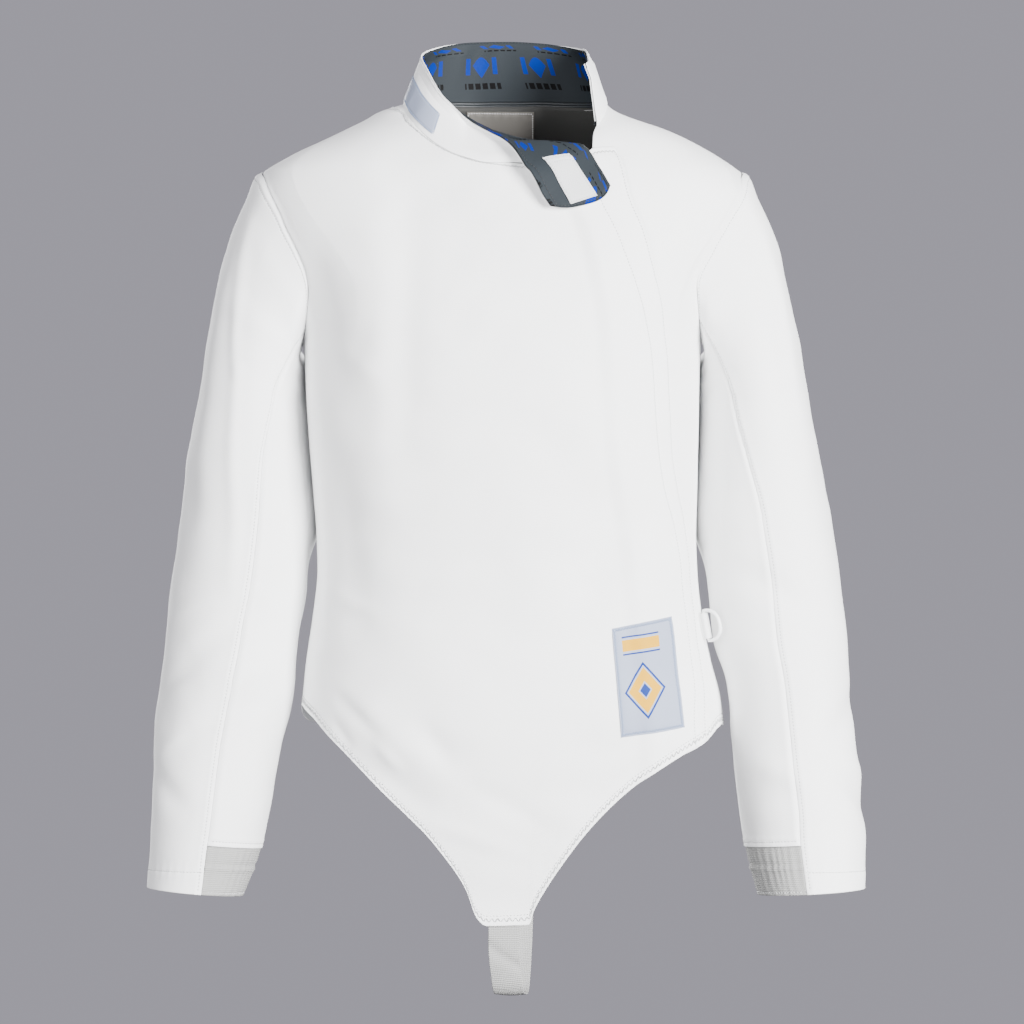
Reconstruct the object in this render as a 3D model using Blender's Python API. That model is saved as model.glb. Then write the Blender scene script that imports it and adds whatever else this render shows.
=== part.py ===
"""Fencing jacket in its worn form, held open as on a wearer, with nobody in it.

Lengths are millimetres until a mesh is made. X is the wearer's left, -Y is the front and +Z is up.
The origin is at the base of the neck. The body cloth lies on one ring surface: an angle goes round the
body (0 at the wearer's left side, -90 at the middle of the front, 90 at the middle of the back), and a
height runs up it, over the shoulders too, where both sides close on the shoulder line.
"""

import math

import bmesh
import bpy
import numpy as np

MM = 0.001
CLOTH = 1.6
THIN_CLOTH = 1.2
SEAM_GAP = 0.3
SLEEVE_SEAM_GAP = 0.5
COLLAR_GAP = 0.5
HEM_HEIGHT = 10.0
HEM_PROUD = 0.6
SQUARENESS = 0.12
TOP_BEND = 5.0
NEWTON_STEPS = 8
SMALL_TURN = 0.02
SMALL_STEP = 2.0
SMALL_RISE = 0.02
SHARP_EDGE = 40.0

WHITE = (0.86, 0.87, 0.87, 1.0)
ELASTIC_WHITE = (0.84, 0.84, 0.82, 1.0)
LINING_GREY = (0.17, 0.19, 0.22, 1.0)
LABEL_LILAC = (0.62, 0.66, 0.76, 1.0)
LABEL_CREAM = (0.72, 0.70, 0.66, 1.0)
PLASTIC_WHITE = (0.85, 0.86, 0.87, 1.0)


def between_rows(keys, values, where):
    """A smooth curve through the rows that never swings past them (monotone cubic)."""
    keys = np.asarray(keys, float)
    values = np.asarray(values, float)
    where = np.clip(np.asarray(where, float), keys[0], keys[-1])
    steps = np.diff(keys)
    slopes = np.diff(values) / steps
    tangents = np.empty_like(values)
    tangents[0] = slopes[0]
    tangents[-1] = slopes[-1]
    before = slopes[:-1]
    after = slopes[1:]
    weight_a = 2 * steps[1:] + steps[:-1]
    weight_b = steps[1:] + 2 * steps[:-1]
    same_way = before * after > 0
    safe_before = np.where(same_way, before, 1.0)
    safe_after = np.where(same_way, after, 1.0)
    mean = (weight_a + weight_b) / (weight_a / safe_before + weight_b / safe_after)
    tangents[1:-1] = np.where(same_way, mean, 0.0)
    row = np.clip(np.searchsorted(keys, where, side="right") - 1, 0, len(steps) - 1)
    t = (where - keys[row]) / steps[row]
    start = values[row] * (1 + 2 * t) * (1 - t) ** 2 + tangents[row] * steps[row] * t * (1 - t) ** 2
    end = values[row + 1] * t * t * (3 - 2 * t) + tangents[row + 1] * steps[row] * t * t * (t - 1)
    return start + end


class Rows:
    """A short table with named columns, read between its rows by the first column."""

    def __init__(self, names, *rows):
        data = np.array(rows, float)
        self.names = names.split()
        self.key = data[:, 0]
        self.columns = dict(zip(self.names, data.T))

    def at(self, name, where):
        return between_rows(self.key, self.columns[name], where)


# The rings of the body: half widths to each side, and depths to the front and back.
BODY = Rows(
    "z right left front back",
    (-740, 188, 192, 80, 60),
    (-680, 188, 192, 90, 80),
    (-620, 188, 193, 101, 100),
    (-560, 187, 196, 110, 112),
    (-520, 183, 193.5, 114, 114),
    (-480, 179, 184, 114, 110),
    (-440, 173, 176, 113, 102),
    (-400, 169, 172, 114, 92),
    (-370, 170, 171, 116, 88),
    (-330, 173, 172, 119, 90),
    (-280, 177, 173, 122, 96),
    (-230, 180, 174, 123, 104),
    (-195, 182, 176, 122, 109),
    (-165, 190, 184, 120, 112),
    (-137, 200.5, 192.5, 116, 112),
    (-113, 213, 207, 110, 110),
    (-90, 223, 217.5, 103, 106),
    (-66, 226.5, 224, 94, 101),
    (-44, 218, 211, 85.5, 93),
    (-30, 196, 192, 78, 86),
    (-16, 167, 167, 69, 78),
    (-5, 145, 143, 58, 70),
    (5, 125, 114, 43, 62),
    (10, 117, 102, 37, 58),
    (15, 104, 94, 30, 54),
    (19, 91, 90, 25, 52),
    (23, 84, 84, 21, 55),
    (30, 74, 74, 18, 52),
)
NECK_Z = 19.0
NECK_BACK_Z = 23.0
TIP_Z = -44.0

# Soft folds on the body: a ridge or trough along a line, fading at its ends and toward the side seams.
FOLD_END = 0.12
FOLD_FADE = 0.8
FOLD_FACING = 1.6
FOLDS = {
    "front": Rows(
        "number x1 z1 x2 z2 width height",
        (1, -118, -40, -104, -330, 20, 2.6),
        (2, -82, -70, -92, -300, 16, -1.6),
        (3, 118, -330, 70, -400, 18, -2.2),
        (4, 128, -370, 90, -440, 16, 1.8),
        (5, -150, -300, -128, -460, 17, -2.2),
        (6, -138, -560, -60, -612, 13, -2.0),
        (7, -128, -520, -50, -584, 14, 1.8),
        (8, -40, -600, 70, -590, 15, -1.4),
        (9, 176, -96, 146, -190, 14, -2.0),
        (10, -168, -120, -150, -240, 15, -2.2),
    ),
    "back": Rows(
        "number x1 z1 x2 z2 width height",
        (1, -110, -60, -96, -320, 20, 2.6),
        (2, 104, -70, 112, -300, 19, 2.4),
        (3, -60, -350, 50, -372, 18, -2.6),
        (4, -30, -400, 90, -392, 17, 2.4),
        (5, -120, -420, -40, -452, 16, -2.0),
        (6, 0, -80, -6, -300, 24, -2.0),
        (7, 168, -110, 140, -220, 15, -2.0),
        (8, -172, -110, -146, -220, 15, -2.0),
    ),
}

# Each armhole, from the armpit (0) to the shoulder tip (1): degrees from the side line, and heights.
ARMHOLE = {
    "right": Rows(
        "part front_angle front_z back_angle back_z",
        (0.00, 6, -195, -6, -195),
        (0.18, 19.6, -176, 10, -183),
        (0.36, 30, -141, 23, -146),
        (0.50, 31.4, -116, 26.5, -116),
        (0.63, 30.4, -91, 25.5, -89),
        (0.76, 24.5, -65, 21, -64),
        (0.88, 14, -50, 13, -50),
        (1.00, 0, TIP_Z, 0, TIP_Z),
    ),
    "left": Rows(
        "part front_angle front_z back_angle back_z",
        (0.00, 12, -192, -12, -192),
        (0.18, 24, -168, 8, -181),
        (0.36, 30.4, -136, 23, -146),
        (0.50, 31.4, -110, 26.5, -114),
        (0.63, 29.6, -88, 25.5, -87),
        (0.76, 25.5, -66, 21, -64),
        (0.88, 14.5, -49.5, 13, -49),
        (1.00, 0, TIP_Z, 0, TIP_Z),
    ),
}
ARMHOLE_STEPS = 10

FRONT_HEM = Rows(
    "part x z",
    (0.00, -180, -521),
    (0.10, -150, -552),
    (0.20, -109, -593),
    (0.30, -67, -634),
    (0.39, -36, -677),
    (0.45, -24, -706),
    (0.47, -17, -711),
    (0.53, 20, -710),
    (0.55, 24, -699),
    (0.62, 45, -663),
    (0.72, 78, -620),
    (0.84, 125, -579),
    (1.00, 175, -549),
)
CLOSURE_EDGE = Rows(
    "z x",
    (-549, 175),
    (-509, 173),
    (-454, 166),
    (-408, 161),
    (-367, 157),
    (-313, 147),
    (-250, 142),
    (-208, 140),
    (-174, 137),
    (-139, 130),
    (-103, 121),
    (-73, 109),
    (-40, 101),
    (-28, 95),
)
OVERLAP_LIFT = 3.2
OVERLAP_WIDTH = 46.0
OVERLAP_RAMP = 16.0
UNDERLAP = 38.0

FRONT_NECK = Rows(
    "part x z",
    (0.00, -91, 19),
    (0.06, -87, 6),
    (0.18, -68, -16),
    (0.30, -48, -30),
    (0.42, -25, -38),
    (0.58, 7, -41.5),
    (0.68, 26, -43),
    (0.80, 46, -42.5),
    (0.88, 60, -40),
    (0.92, 68, -36.5),
    (0.95, 77, -30),
    (1.00, 95, -28),
)
LEFT_NECK = Rows(
    "part x z",
    (0.00, 62, -56),
    (0.20, 72, -36),
    (0.32, 76, -28),
    (0.52, 77, -15),
    (0.68, 80, -6),
    (0.86, 87, 7),
    (1.00, 90, 19),
)
LEFT_HEM = Rows("part x z", (0.0, 134, -570), (0.6, 176, -552), (1.0, 190, -538))
BACK_HEM = Rows(
    "part angle z",
    (0.0, -12, -538),
    (0.2, 20, -543),
    (0.5, 90, -546),
    (0.8, 158, -540),
    (1.0, 186, -521),
)

# The sleeves, down from the bicep: outer and inner distance from the middle, depth and seams.
SLEEVE = {
    "right": Rows(
        "drop outer inner mid_y half_depth tilt lean front_seam back_seam",
        (0, 278, 184.5, 8, 74, 0.00, 0.00, -124, 104),
        (50, 287, 181.5, 8, 72, 0.00, 0.00, -112, 107),
        (106, 293, 176.5, 5, 67, 0.02, 0.00, -106, 110),
        (163, 301, 179.5, 0, 63, 0.03, 0.01, -104, 110),
        (211, 305, 187, -6, 61, 0.04, 0.02, -102, 110),
        (252, 309, 190, -13, 60, 0.05, 0.03, -98, 110),
        (306, 314, 201, -24, 58, 0.06, 0.04, -97, 110),
        (362, 315, 210, -38, 55, 0.08, 0.05, -96, 110),
        (392, 315, 217, -44, 52, 0.09, 0.05, -96, 110),
        (434, 317, 232, -54, 47, 0.09, 0.05, -102, 110),
    ),
    "left": Rows(
        "drop outer inner mid_y half_depth tilt lean front_seam back_seam",
        (0, 273, 179.5, 8, 74, 0.00, 0.00, -124, 104),
        (50, 283, 178, 8, 72, 0.00, 0.00, -110, 107),
        (106, 293, 176.5, 5, 67, 0.02, 0.00, -98, 110),
        (163, 301, 181, 0, 63, 0.03, 0.01, -96, 110),
        (211, 305, 187, -6, 61, 0.04, 0.02, -97, 110),
        (252, 308, 198, -13, 60, 0.05, 0.03, -98, 110),
        (306, 312, 202, -24, 58, 0.05, 0.04, -97, 110),
        (362, 317, 208, -38, 55, 0.06, 0.05, -97, 110),
        (392, 319, 212, -44, 53, 0.06, 0.05, -99, 110),
        (434, 317, 222, -54, 50, 0.06, 0.05, -99, 110),
    ),
}
BICEP_Z = -250.0
CAP_DROP = 200.0
CAP_SEAM_DROP = 30.0
ARMHOLE_GAP = 0.6
CAP_OUTWARD = 0.34
CAP_OUTWARD_TOP = 0.30
CAP_DOWNWARD = 0.85
SEAM_SWING = 1.2
SLEEVE_FOLD_FADE = (60.0, 40.0)
CUFF_DROP = 434.0
UNDER_HEM_DROP = 392.0
FRONT_SEAM_TOP = -162.0
BACK_SEAM_TOP = 108.0
SLEEVE_FOLDS = {
    "right": Rows(
        "number angle1 drop1 angle2 drop2 width height",
        (1, -40, -120, -52, 110, 13, 1.8),
        (2, -120, 180, -60, 225, 13, -2.6),
        (3, -130, 262, -70, 292, 13, -2.8),
        (4, -140, 230, -80, 250, 12, 2.2),
        (5, -20, 330, -70, 362, 11, -1.6),
        (6, 60, 190, 140, 232, 14, 2.4),
        (7, 70, 270, 150, 300, 13, -2.4),
        (8, 30, 120, 100, 160, 15, -2.0),
    ),
    "left": Rows(
        "number angle1 drop1 angle2 drop2 width height",
        (1, -36, -110, -44, 60, 14, 1.6),
        (2, -60, 300, -10, 270, 13, -2.6),
        (3, -50, 340, 10, 370, 12, -2.0),
        (4, -120, 150, -60, 190, 14, -2.2),
        (5, -128, 320, -70, 345, 12, 2.0),
        (6, 60, 200, 140, 236, 14, 2.4),
        (7, 70, 280, 150, 306, 13, -2.4),
        (8, 30, 130, 100, 166, 15, -2.0),
    ),
}

# The collar, from its left end round the back to the tab: the neckline under it, the crest where it
# rolls over, and its top edge.
COLLAR = Rows(
    "station base_x base_z crest_x crest_y crest_z edge_x edge_y edge_z",
    (0, 80, -6, 75, -46, 36, 70, -40, 50),
    (18, 87, 7, 79, -22, 43, 72.5, -20, 55),
    (46, 90, 19, 79, 5, 54, 71, 6, 67),
    (88, 0, 0, 68, 40, 62, 63, 41, 74),
    (120, 0, 0, 36, 59, 70, 34, 60, 81),
    (156, 0, 0, 0, 62, 72, 1, 63, 83),
    (192, 0, 0, -35, 59, 70, -33, 60, 82),
    (226, 0, 0, -66, 42, 64, -61, 42, 75),
    (268, -91, 19, -79, 5, 52, -75, 6, 62),
    (296, -87, 6, -72, -22, 34, -68, -20, 45),
    (326, -68, -16, -59, -44, 13, -56, -41, 22),
    (350, -48, -30, -45, -52, 1, -44, -50, 9),
    (369, -30, -37, -31, -50, -1, -29, -60, -4),
    (384, -15, -41, -18, -56, -6, -15, -72, -13),
    (399, 0, -41.3, -3, -62, -12, -2, -83, -21),
    (413, 14, -42, 11, -68, -16, 6, -92, -29),
    (428, 28, -43, 24, -73, -20, 12, -99, -38),
    (444, 44, -42.5, 38, -78, -22.5, 17, -104, -47),
    (458, 57, -41, 53, -81, -25, 21.5, -106, -52),
    (470, 66, -37.5, 65.5, -83, -28, 25, -107, -58),
    (492, 82, -45, 79, -89, -46.5, 31.5, -108, -71.5),
    (516, 93, -64, 90, -96, -66, 39, -108, -83),
    (526, 97, -72, 94.5, -98.5, -74, 42, -108, -88),
)
COLLAR_LENGTH = 526.0
TAB_CORNER = 514.0
COLLAR_BACK_FROM = 46.0
COLLAR_BACK_TO = 268.0
TAB_FROM = 436.0
TAB_BLEND = 42.0
TAB_TOP = 2.0
ROLL_RADIUS = 4.5
ROLL_REACH = 4.0
ROLL_LOW = 0.35
ROLL_HIGH = 0.65
ROLL_FIRST = 0.10
ROLL_SPAN = 0.12
COLLAR_LIFT = 1.4
ROLL_LIFT = 1.1
ROLL_STARTS = 350.0
ROLL_LIFTED_BY = 390.0
ROLL_ENDS = 470.0
ROLL_CLEARANCE = 2.6

STRAP_PATH = Rows(
    "part x y z",
    (0.00, -2, -84.5, -696),
    (0.04, -2, -81.9, -711),
    (0.08, -2, -79, -729),
    (0.14, 0, -72.5, -754),
    (0.20, 3, -58, -774),
    (0.27, 6, -38, -777),
    (0.36, 9, -12, -752),
    (0.50, 11, 24, -702),
    (0.70, 11, 66, -628),
    (0.88, 9, 101, -566),
    (0.93, 8, 108.0, -547),
    (0.96, 7, 109.1, -536),
    (1.00, 7, 109.8, -522),
)
STRAP_WIDTH = 27.0
STRAP_WALL = 1.4

FASTENER = ((521, 0.87), (520, 0.67), (470, 0.685), (455, 0.857))
FASTENER_PILE = 1.2
COLLAR_LABEL_COLUMNS = (16, 21)
COLLAR_LABEL_RISES = (0.02, 0.18, 0.30)
FRONT_LABEL = ((100, -545), (155, -537), (143, -440), (92, -450))
FRONT_LABEL_GAP = 0.6
NECK_LABEL = ((-36, -8), (26, -8), (26, 18), (-36, 18))
NECK_LABEL_GAP = 1.1
LABEL_WALL = 0.8

RING_WIRE = 1.6
RING_BAR = 27.0
RING_DEPTH = 16.0
RING_CENTRE = (178.5, -34.5, -449.5)
RING_BAR_TOP = (-2.5, 0.0, 13.3)
RING_SWING = 45.0
TAB_SWING = 22.0
TAB_WIDTH = 23.0
TAB_TAIL = 5.4
TAB_WALL = 1.0
TAB_HOLE = 2.1


def body_point(angle, z):
    """Points of the body's ring surface, for angles in radians and heights."""
    angle, z = np.broadcast_arrays(np.asarray(angle, float), np.asarray(z, float))
    c = np.cos(angle)
    s = np.sin(angle)
    width = np.where(c < 0, BODY.at("right", z), BODY.at("left", z))
    depth = np.where(s < 0, BODY.at("front", z), BODY.at("back", z))
    x = width * c * (1 + SQUARENESS * s * s)
    y = depth * s * (1 + SQUARENESS * c * c)
    return np.stack([x, y, z], axis=-1)


def unit(vectors):
    return vectors / np.linalg.norm(vectors, axis=-1, keepdims=True)


def body_normal(angle, z):
    """Outward normals of the ring surface, from small steps each way."""
    round_it = body_point(angle + SMALL_TURN, z) - body_point(angle - SMALL_TURN, z)
    up_it = body_point(angle, z + SMALL_STEP) - body_point(angle, z - SMALL_STEP)
    return unit(np.cross(round_it, up_it))


def body_angle(x, z, front=True):
    """The angle at which the ring at height z reaches x, on the front or the back."""
    x = np.asarray(x, float)
    width = np.where(x < 0, BODY.at("right", z), BODY.at("left", z))
    share = np.clip(x / width, -1.0, 1.0)
    cosine = share.copy()
    for step in range(NEWTON_STEPS):
        error = cosine * (1 + SQUARENESS) - SQUARENESS * cosine ** 3 - share
        slope = 1 + SQUARENESS - 3 * SQUARENESS * cosine ** 2
        cosine = np.clip(cosine - error / slope, -1.0, 1.0)
    angle = np.arccos(cosine)
    return -angle if front else angle


def ridge_heights(x, z, rows):
    """Sum of soft ridges: each falls off beside its line as a bell, and fades along it to both ends."""
    total = np.zeros(np.broadcast(x, z).shape)
    for x1, z1, x2, z2, width, height in zip(*[rows.columns[name] for name in rows.names[1:]]):
        along = np.array([x2 - x1, z2 - z1])
        length = np.hypot(*along)
        along = along / length
        part = ((x - x1) * along[0] + (z - z1) * along[1]) / length
        beside = (x - x1) * -along[1] + (z - z1) * along[0]
        inside = np.clip(part, 0, 1)
        past = (part - inside) * length
        fade = np.sin(np.pi * (FOLD_END + (1 - 2 * FOLD_END) * inside)) ** FOLD_FADE
        total = total + height * fade * np.exp(-(beside ** 2 + past ** 2) / width ** 2)
    return total


def overlap_lift(points):
    """How far the right front stands off where it laps over the left front."""
    edge = CLOSURE_EDGE.at("x", points[..., 2])
    inside = np.clip((points[..., 0] - (edge - OVERLAP_WIDTH - OVERLAP_RAMP)) / OVERLAP_RAMP, 0, 1)
    return OVERLAP_LIFT * inside * inside * (3 - 2 * inside)


def on_body(angle, z, out=0.0, overlap=False):
    """Points of the cloth on the body, out millimetres outside its face."""
    points = body_point(angle, z)
    x = points[..., 0]
    front = ridge_heights(x, points[..., 2], FOLDS["front"])
    back = ridge_heights(x, points[..., 2], FOLDS["back"])
    facing = np.clip(np.abs(np.sin(angle)) * FOLD_FACING, 0, 1)
    height = np.where(np.sin(angle) < 0, front, back) * facing
    if overlap:
        height = height + overlap_lift(points)
    return points + body_normal(angle, z) * (height + out)[..., None]


def blend_edges(bottom, top, left, right):
    """A grid inside four edges: straight between the sides, bent to the top and bottom near them."""
    across = np.linspace(0, 1, len(bottom))[None, :, None]
    up = np.linspace(0, 1, len(left))[:, None, None]
    straight = (1 - across) * left[:, None] + across * right[:, None]
    bottom_bend = bottom[None] - (1 - across) * bottom[0] - across * bottom[-1]
    top_bend = top[None] - (1 - across) * top[0] - across * top[-1]
    return straight + (1 - up) * bottom_bend + up ** TOP_BEND * top_bend


def make_material(name, colour, roughness=0.7, metallic=0.0):
    material = bpy.data.materials.new(name)
    material.use_nodes = True
    shader = material.node_tree.nodes["Principled BSDF"]
    shader.inputs["Base Color"].default_value = colour
    shader.inputs["Roughness"].default_value = roughness
    shader.inputs["Metallic"].default_value = metallic
    return material


def make_object(name, mesh_maker, material):
    """A named object from a bmesh whose closed faces are turned outwards."""
    bmesh.ops.recalc_face_normals(mesh_maker, faces=mesh_maker.faces)
    mesh = bpy.data.meshes.new(name)
    mesh_maker.to_mesh(mesh)
    mesh_maker.free()
    mesh.materials.append(material)
    mesh.shade_smooth()
    mesh.set_sharp_from_angle(angle=math.radians(SHARP_EDGE))
    made = bpy.data.objects.new(name, mesh)
    bpy.context.scene.collection.objects.link(made)
    return made


def wall(name, outer, inner, material):
    """A closed wall between two grids of the same size: both faces and the rim round them."""
    rows, columns = outer.shape[:2]
    maker = bmesh.new()
    face = [[maker.verts.new(p * MM) for p in row] for row in outer]
    back = [[maker.verts.new(p * MM) for p in row] for row in inner]
    for i in range(rows - 1):
        for j in range(columns - 1):
            for layer in (face, back):
                near, beside = layer[i][j:j + 2]
                above, across = layer[i + 1][j:j + 2]
                maker.faces.new((near, beside, across))
                maker.faces.new((near, across, above))
    rim = [(0, j) for j in range(columns)] + [(i, columns - 1) for i in range(1, rows)]
    rim += [(rows - 1, j) for j in range(columns - 2, -1, -1)] + [(i, 0) for i in range(rows - 2, 0, -1)]
    for (i, j), (k, m) in zip(rim, rim[1:] + rim[:1]):
        maker.faces.new((face[i][j], back[i][j], back[k][m], face[k][m]))
    return make_object(name, maker, material)


def armhole_edge(side, which, parts):
    """Angle and height along an armhole, from the armpit to the shoulder tip."""
    rows = ARMHOLE[side]
    lean = np.radians(rows.at(which + "_angle", parts))
    lean = -lean if which == "front" else lean
    if side == "right":
        lean = (-math.pi if which == "front" else math.pi) - lean
    return np.stack([lean, rows.at(which + "_z", parts)], axis=-1)


def side_edge(side, which, hem_z, count):
    """The side seam from the hem to the armpit, and then the armhole in its even steps."""
    armhole = armhole_edge(side, which, np.linspace(0, 1, ARMHOLE_STEPS + 1))
    armpit = armhole[0]
    heights = np.linspace(hem_z, armpit[1], count - ARMHOLE_STEPS)[:-1]
    seam = np.stack([np.full_like(heights, armpit[0]), heights], axis=-1)
    return np.concatenate([seam, armhole])


def front_edge(rows, parts):
    """Angle and height along a row table of x and z on the front."""
    x = rows.at("x", parts)
    z = rows.at("z", parts)
    return np.stack([body_angle(x, z), z], axis=-1)


def shoulder_edge(angle, parts):
    """Up the shoulder seam, from its tip to the neck."""
    z = TIP_Z + (NECK_Z - TIP_Z) * parts
    return np.stack([np.full_like(z, angle), z], axis=-1)


def shrink(grid, gap=SEAM_GAP / 2):
    """Draws a grid's outline in by half a seam, toward the next row and column."""
    grid = grid.copy()
    spans = ((grid[0], grid[1]), (grid[-1], grid[-2]), (grid[:, 0], grid[:, 1]), (grid[:, -1], grid[:, -2]))
    for edge, beside in spans:
        step = beside - edge
        length = np.linalg.norm(step, axis=-1, keepdims=True)
        edge += step / np.maximum(length, 1e-6) * gap
    return grid


def hem_rows(grid):
    """The same grid with its second row a hem's height above the first."""
    grid = grid.copy()
    step = grid[2] - grid[0]
    length = np.linalg.norm(body_point(grid[2][:, 0], grid[2][:, 1])
                            - body_point(grid[0][:, 0], grid[0][:, 1]), axis=-1)
    grid[1] = grid[0] + step * (HEM_HEIGHT / np.maximum(length, HEM_HEIGHT))[:, None]
    return grid


def body_panel(name, grid, material, overlap=False):
    """A body panel: its face and its inside, with the hem's fold standing a little proud."""
    grid = hem_rows(grid)
    proud = np.zeros(grid.shape[:2])
    proud[:2] = HEM_PROUD
    outer = on_body(grid[..., 0], grid[..., 1], proud, overlap)
    inner = on_body(grid[..., 0], grid[..., 1], -CLOTH, overlap)
    centre = shrink(on_body(grid[..., 0], grid[..., 1], 0.0, overlap))
    shift = centre - on_body(grid[..., 0], grid[..., 1], 0.0, overlap)
    return wall(name, outer + shift, inner + shift, material)


def make_front_right(material):
    """The main front: it runs from the right side seam across to the closure edge."""
    across = 33
    up = 31
    shoulder_share = 0.25
    stations = np.linspace(0, 1, across)
    bottom = front_edge(FRONT_HEM, stations)
    right_seam = armhole_edge("right", "front", np.array([0.0]))[0]
    bottom[0] = (right_seam[0], bottom[0, 1])
    on_shoulder = stations <= shoulder_share
    top = front_edge(FRONT_NECK, np.clip((stations - shoulder_share) / (1 - shoulder_share), 0, 1))
    top[on_shoulder] = shoulder_edge(-math.pi, stations[on_shoulder] / shoulder_share)
    left = side_edge("right", "front", bottom[0, 1], up)
    z = np.linspace(CLOSURE_EDGE.key[0], CLOSURE_EDGE.key[-1], up)
    right = np.stack([body_angle(CLOSURE_EDGE.at("x", z), z), z], axis=-1)
    bottom[-1] = right[0]
    top[-1] = right[-1]
    return body_panel("front_right", blend_edges(bottom, top, left, right), material, overlap=True)


def make_front_left(material):
    """The left front, from its hidden edge under the closure to the left side seam."""
    across = 10
    up = 25
    shoulder_share = 0.55
    stations = np.linspace(0, 1, across)
    bottom = front_edge(LEFT_HEM, stations)
    seam = armhole_edge("left", "front", np.array([0.0]))[0]
    bottom[-1] = (seam[0], bottom[-1, 1])
    neck_share = 1 - shoulder_share
    top = front_edge(LEFT_NECK, np.clip(stations / neck_share, 0, 1))
    on_shoulder = stations > neck_share
    top[on_shoulder] = shoulder_edge(0.0, (1 - stations[on_shoulder]) / shoulder_share)
    right = side_edge("left", "front", bottom[-1, 1], up)
    z = np.linspace(bottom[0, 1], top[0, 1], up)
    left = np.stack([body_angle(CLOSURE_EDGE.at("x", z) - UNDERLAP, z), z], axis=-1)
    bottom[0] = left[0]
    left[-1] = top[0]
    return body_panel("front_left", blend_edges(bottom, top, left, right), material)


def make_back(material):
    """The back, in one piece from the left side seam round to the right one."""
    across = 27
    up = 23
    shoulder_share = 0.27
    stations = np.linspace(0, 1, across)
    bottom = np.stack([np.radians(BACK_HEM.at("angle", stations)), BACK_HEM.at("z", stations)], axis=-1)
    neck_part = np.clip((stations - shoulder_share) / (1 - 2 * shoulder_share), 0, 1)
    neck_angle = math.pi * neck_part
    top = np.stack([neck_angle, NECK_Z + (NECK_BACK_Z - NECK_Z) * np.sin(neck_angle) ** 2], axis=-1)
    first = stations <= shoulder_share
    last = stations >= 1 - shoulder_share
    top[first] = shoulder_edge(0.0, stations[first] / shoulder_share)
    top[last] = shoulder_edge(math.pi, (1 - stations[last]) / shoulder_share)
    left = side_edge("left", "back", bottom[0, 1], up)
    right = side_edge("right", "back", bottom[-1, 1], up)
    bottom[0] = left[0]
    bottom[-1] = right[0]
    return body_panel("back", blend_edges(bottom, top, left, right), material)


def sleeve_ring(side, turn, drop):
    """Points round the sleeve below the bicep: ovals that lean with the arm."""
    rows = SLEEVE[side]
    outer = rows.at("outer", drop)
    inner = rows.at("inner", drop)
    half_width = (outer - inner) / 2
    half_depth = rows.at("half_depth", drop)
    c = np.cos(turn)
    s = np.sin(turn)
    x = (outer + inner) / 2 + half_width * c
    y = rows.at("mid_y", drop) + half_depth * s
    z = BICEP_Z - drop + rows.at("tilt", drop) * half_width * c - rows.at("lean", drop) * half_depth * s
    sign = -1.0 if side == "right" else 1.0
    return np.stack([sign * x, y, z], axis=-1)


def armhole_loop(side, turn):
    """The body's edge round an armhole in its straight steps, and the body's outward way there."""
    wrapped = np.mod(turn + math.pi, 2 * math.pi) - math.pi
    step = (1 - np.abs(wrapped) / math.pi) * ARMHOLE_STEPS
    low = np.clip(np.floor(step + 1e-6), 0, ARMHOLE_STEPS - 1)
    share = (step - low)[..., None]
    points = 0.0
    normals = 0.0
    for part, weight in ((low / ARMHOLE_STEPS, 1 - share), ((low + 1) / ARMHOLE_STEPS, share)):
        front = armhole_edge(side, "front", part)
        back = armhole_edge(side, "back", part)
        edge = np.where((wrapped < 0)[..., None], front, back)
        points = points + on_body(edge[..., 0], edge[..., 1]) * weight
        normals = normals + body_normal(edge[..., 0], edge[..., 1]) * weight
    return points, unit(normals)


def sleeve_point(side, turn, drop):
    """Points of the whole sleeve: above the bicep it curves up to the armhole."""
    turn, drop = np.broadcast_arrays(np.asarray(turn, float), np.asarray(drop, float))
    sign = -1.0 if side == "right" else 1.0
    top_share = (1 + np.cos(turn)) / 2
    start, body_way = armhole_loop(side, turn)
    along = armhole_loop(side, turn + SMALL_TURN)[0] - armhole_loop(side, turn - SMALL_TURN)[0]
    start = start + sign * unit(np.cross(along, body_way)) * ARMHOLE_GAP
    start = start + body_way * (ARMHOLE_GAP * (1 - top_share))[..., None]
    outward = sign * (CAP_OUTWARD + CAP_OUTWARD_TOP * top_share)
    level = np.zeros_like(drop)
    away = unit(np.stack([outward, level, level - CAP_DOWNWARD], axis=-1))
    end = sleeve_ring(side, turn, level)
    slope = (sleeve_ring(side, turn, level + SMALL_STEP) - end) / SMALL_STEP
    reach = np.linalg.norm(end - start, axis=-1, keepdims=True)
    t = np.clip(1 + drop / CAP_DROP, 0, 1)[..., None]
    cap = (start * (1 + 2 * t) * (1 - t) ** 2 + away * reach * t * (1 - t) ** 2
           + end * t * t * (3 - 2 * t) + slope * reach * t * t * (t - 1))
    return np.where((drop < 0)[..., None], cap, sleeve_ring(side, turn, np.maximum(drop, 0)))


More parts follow.
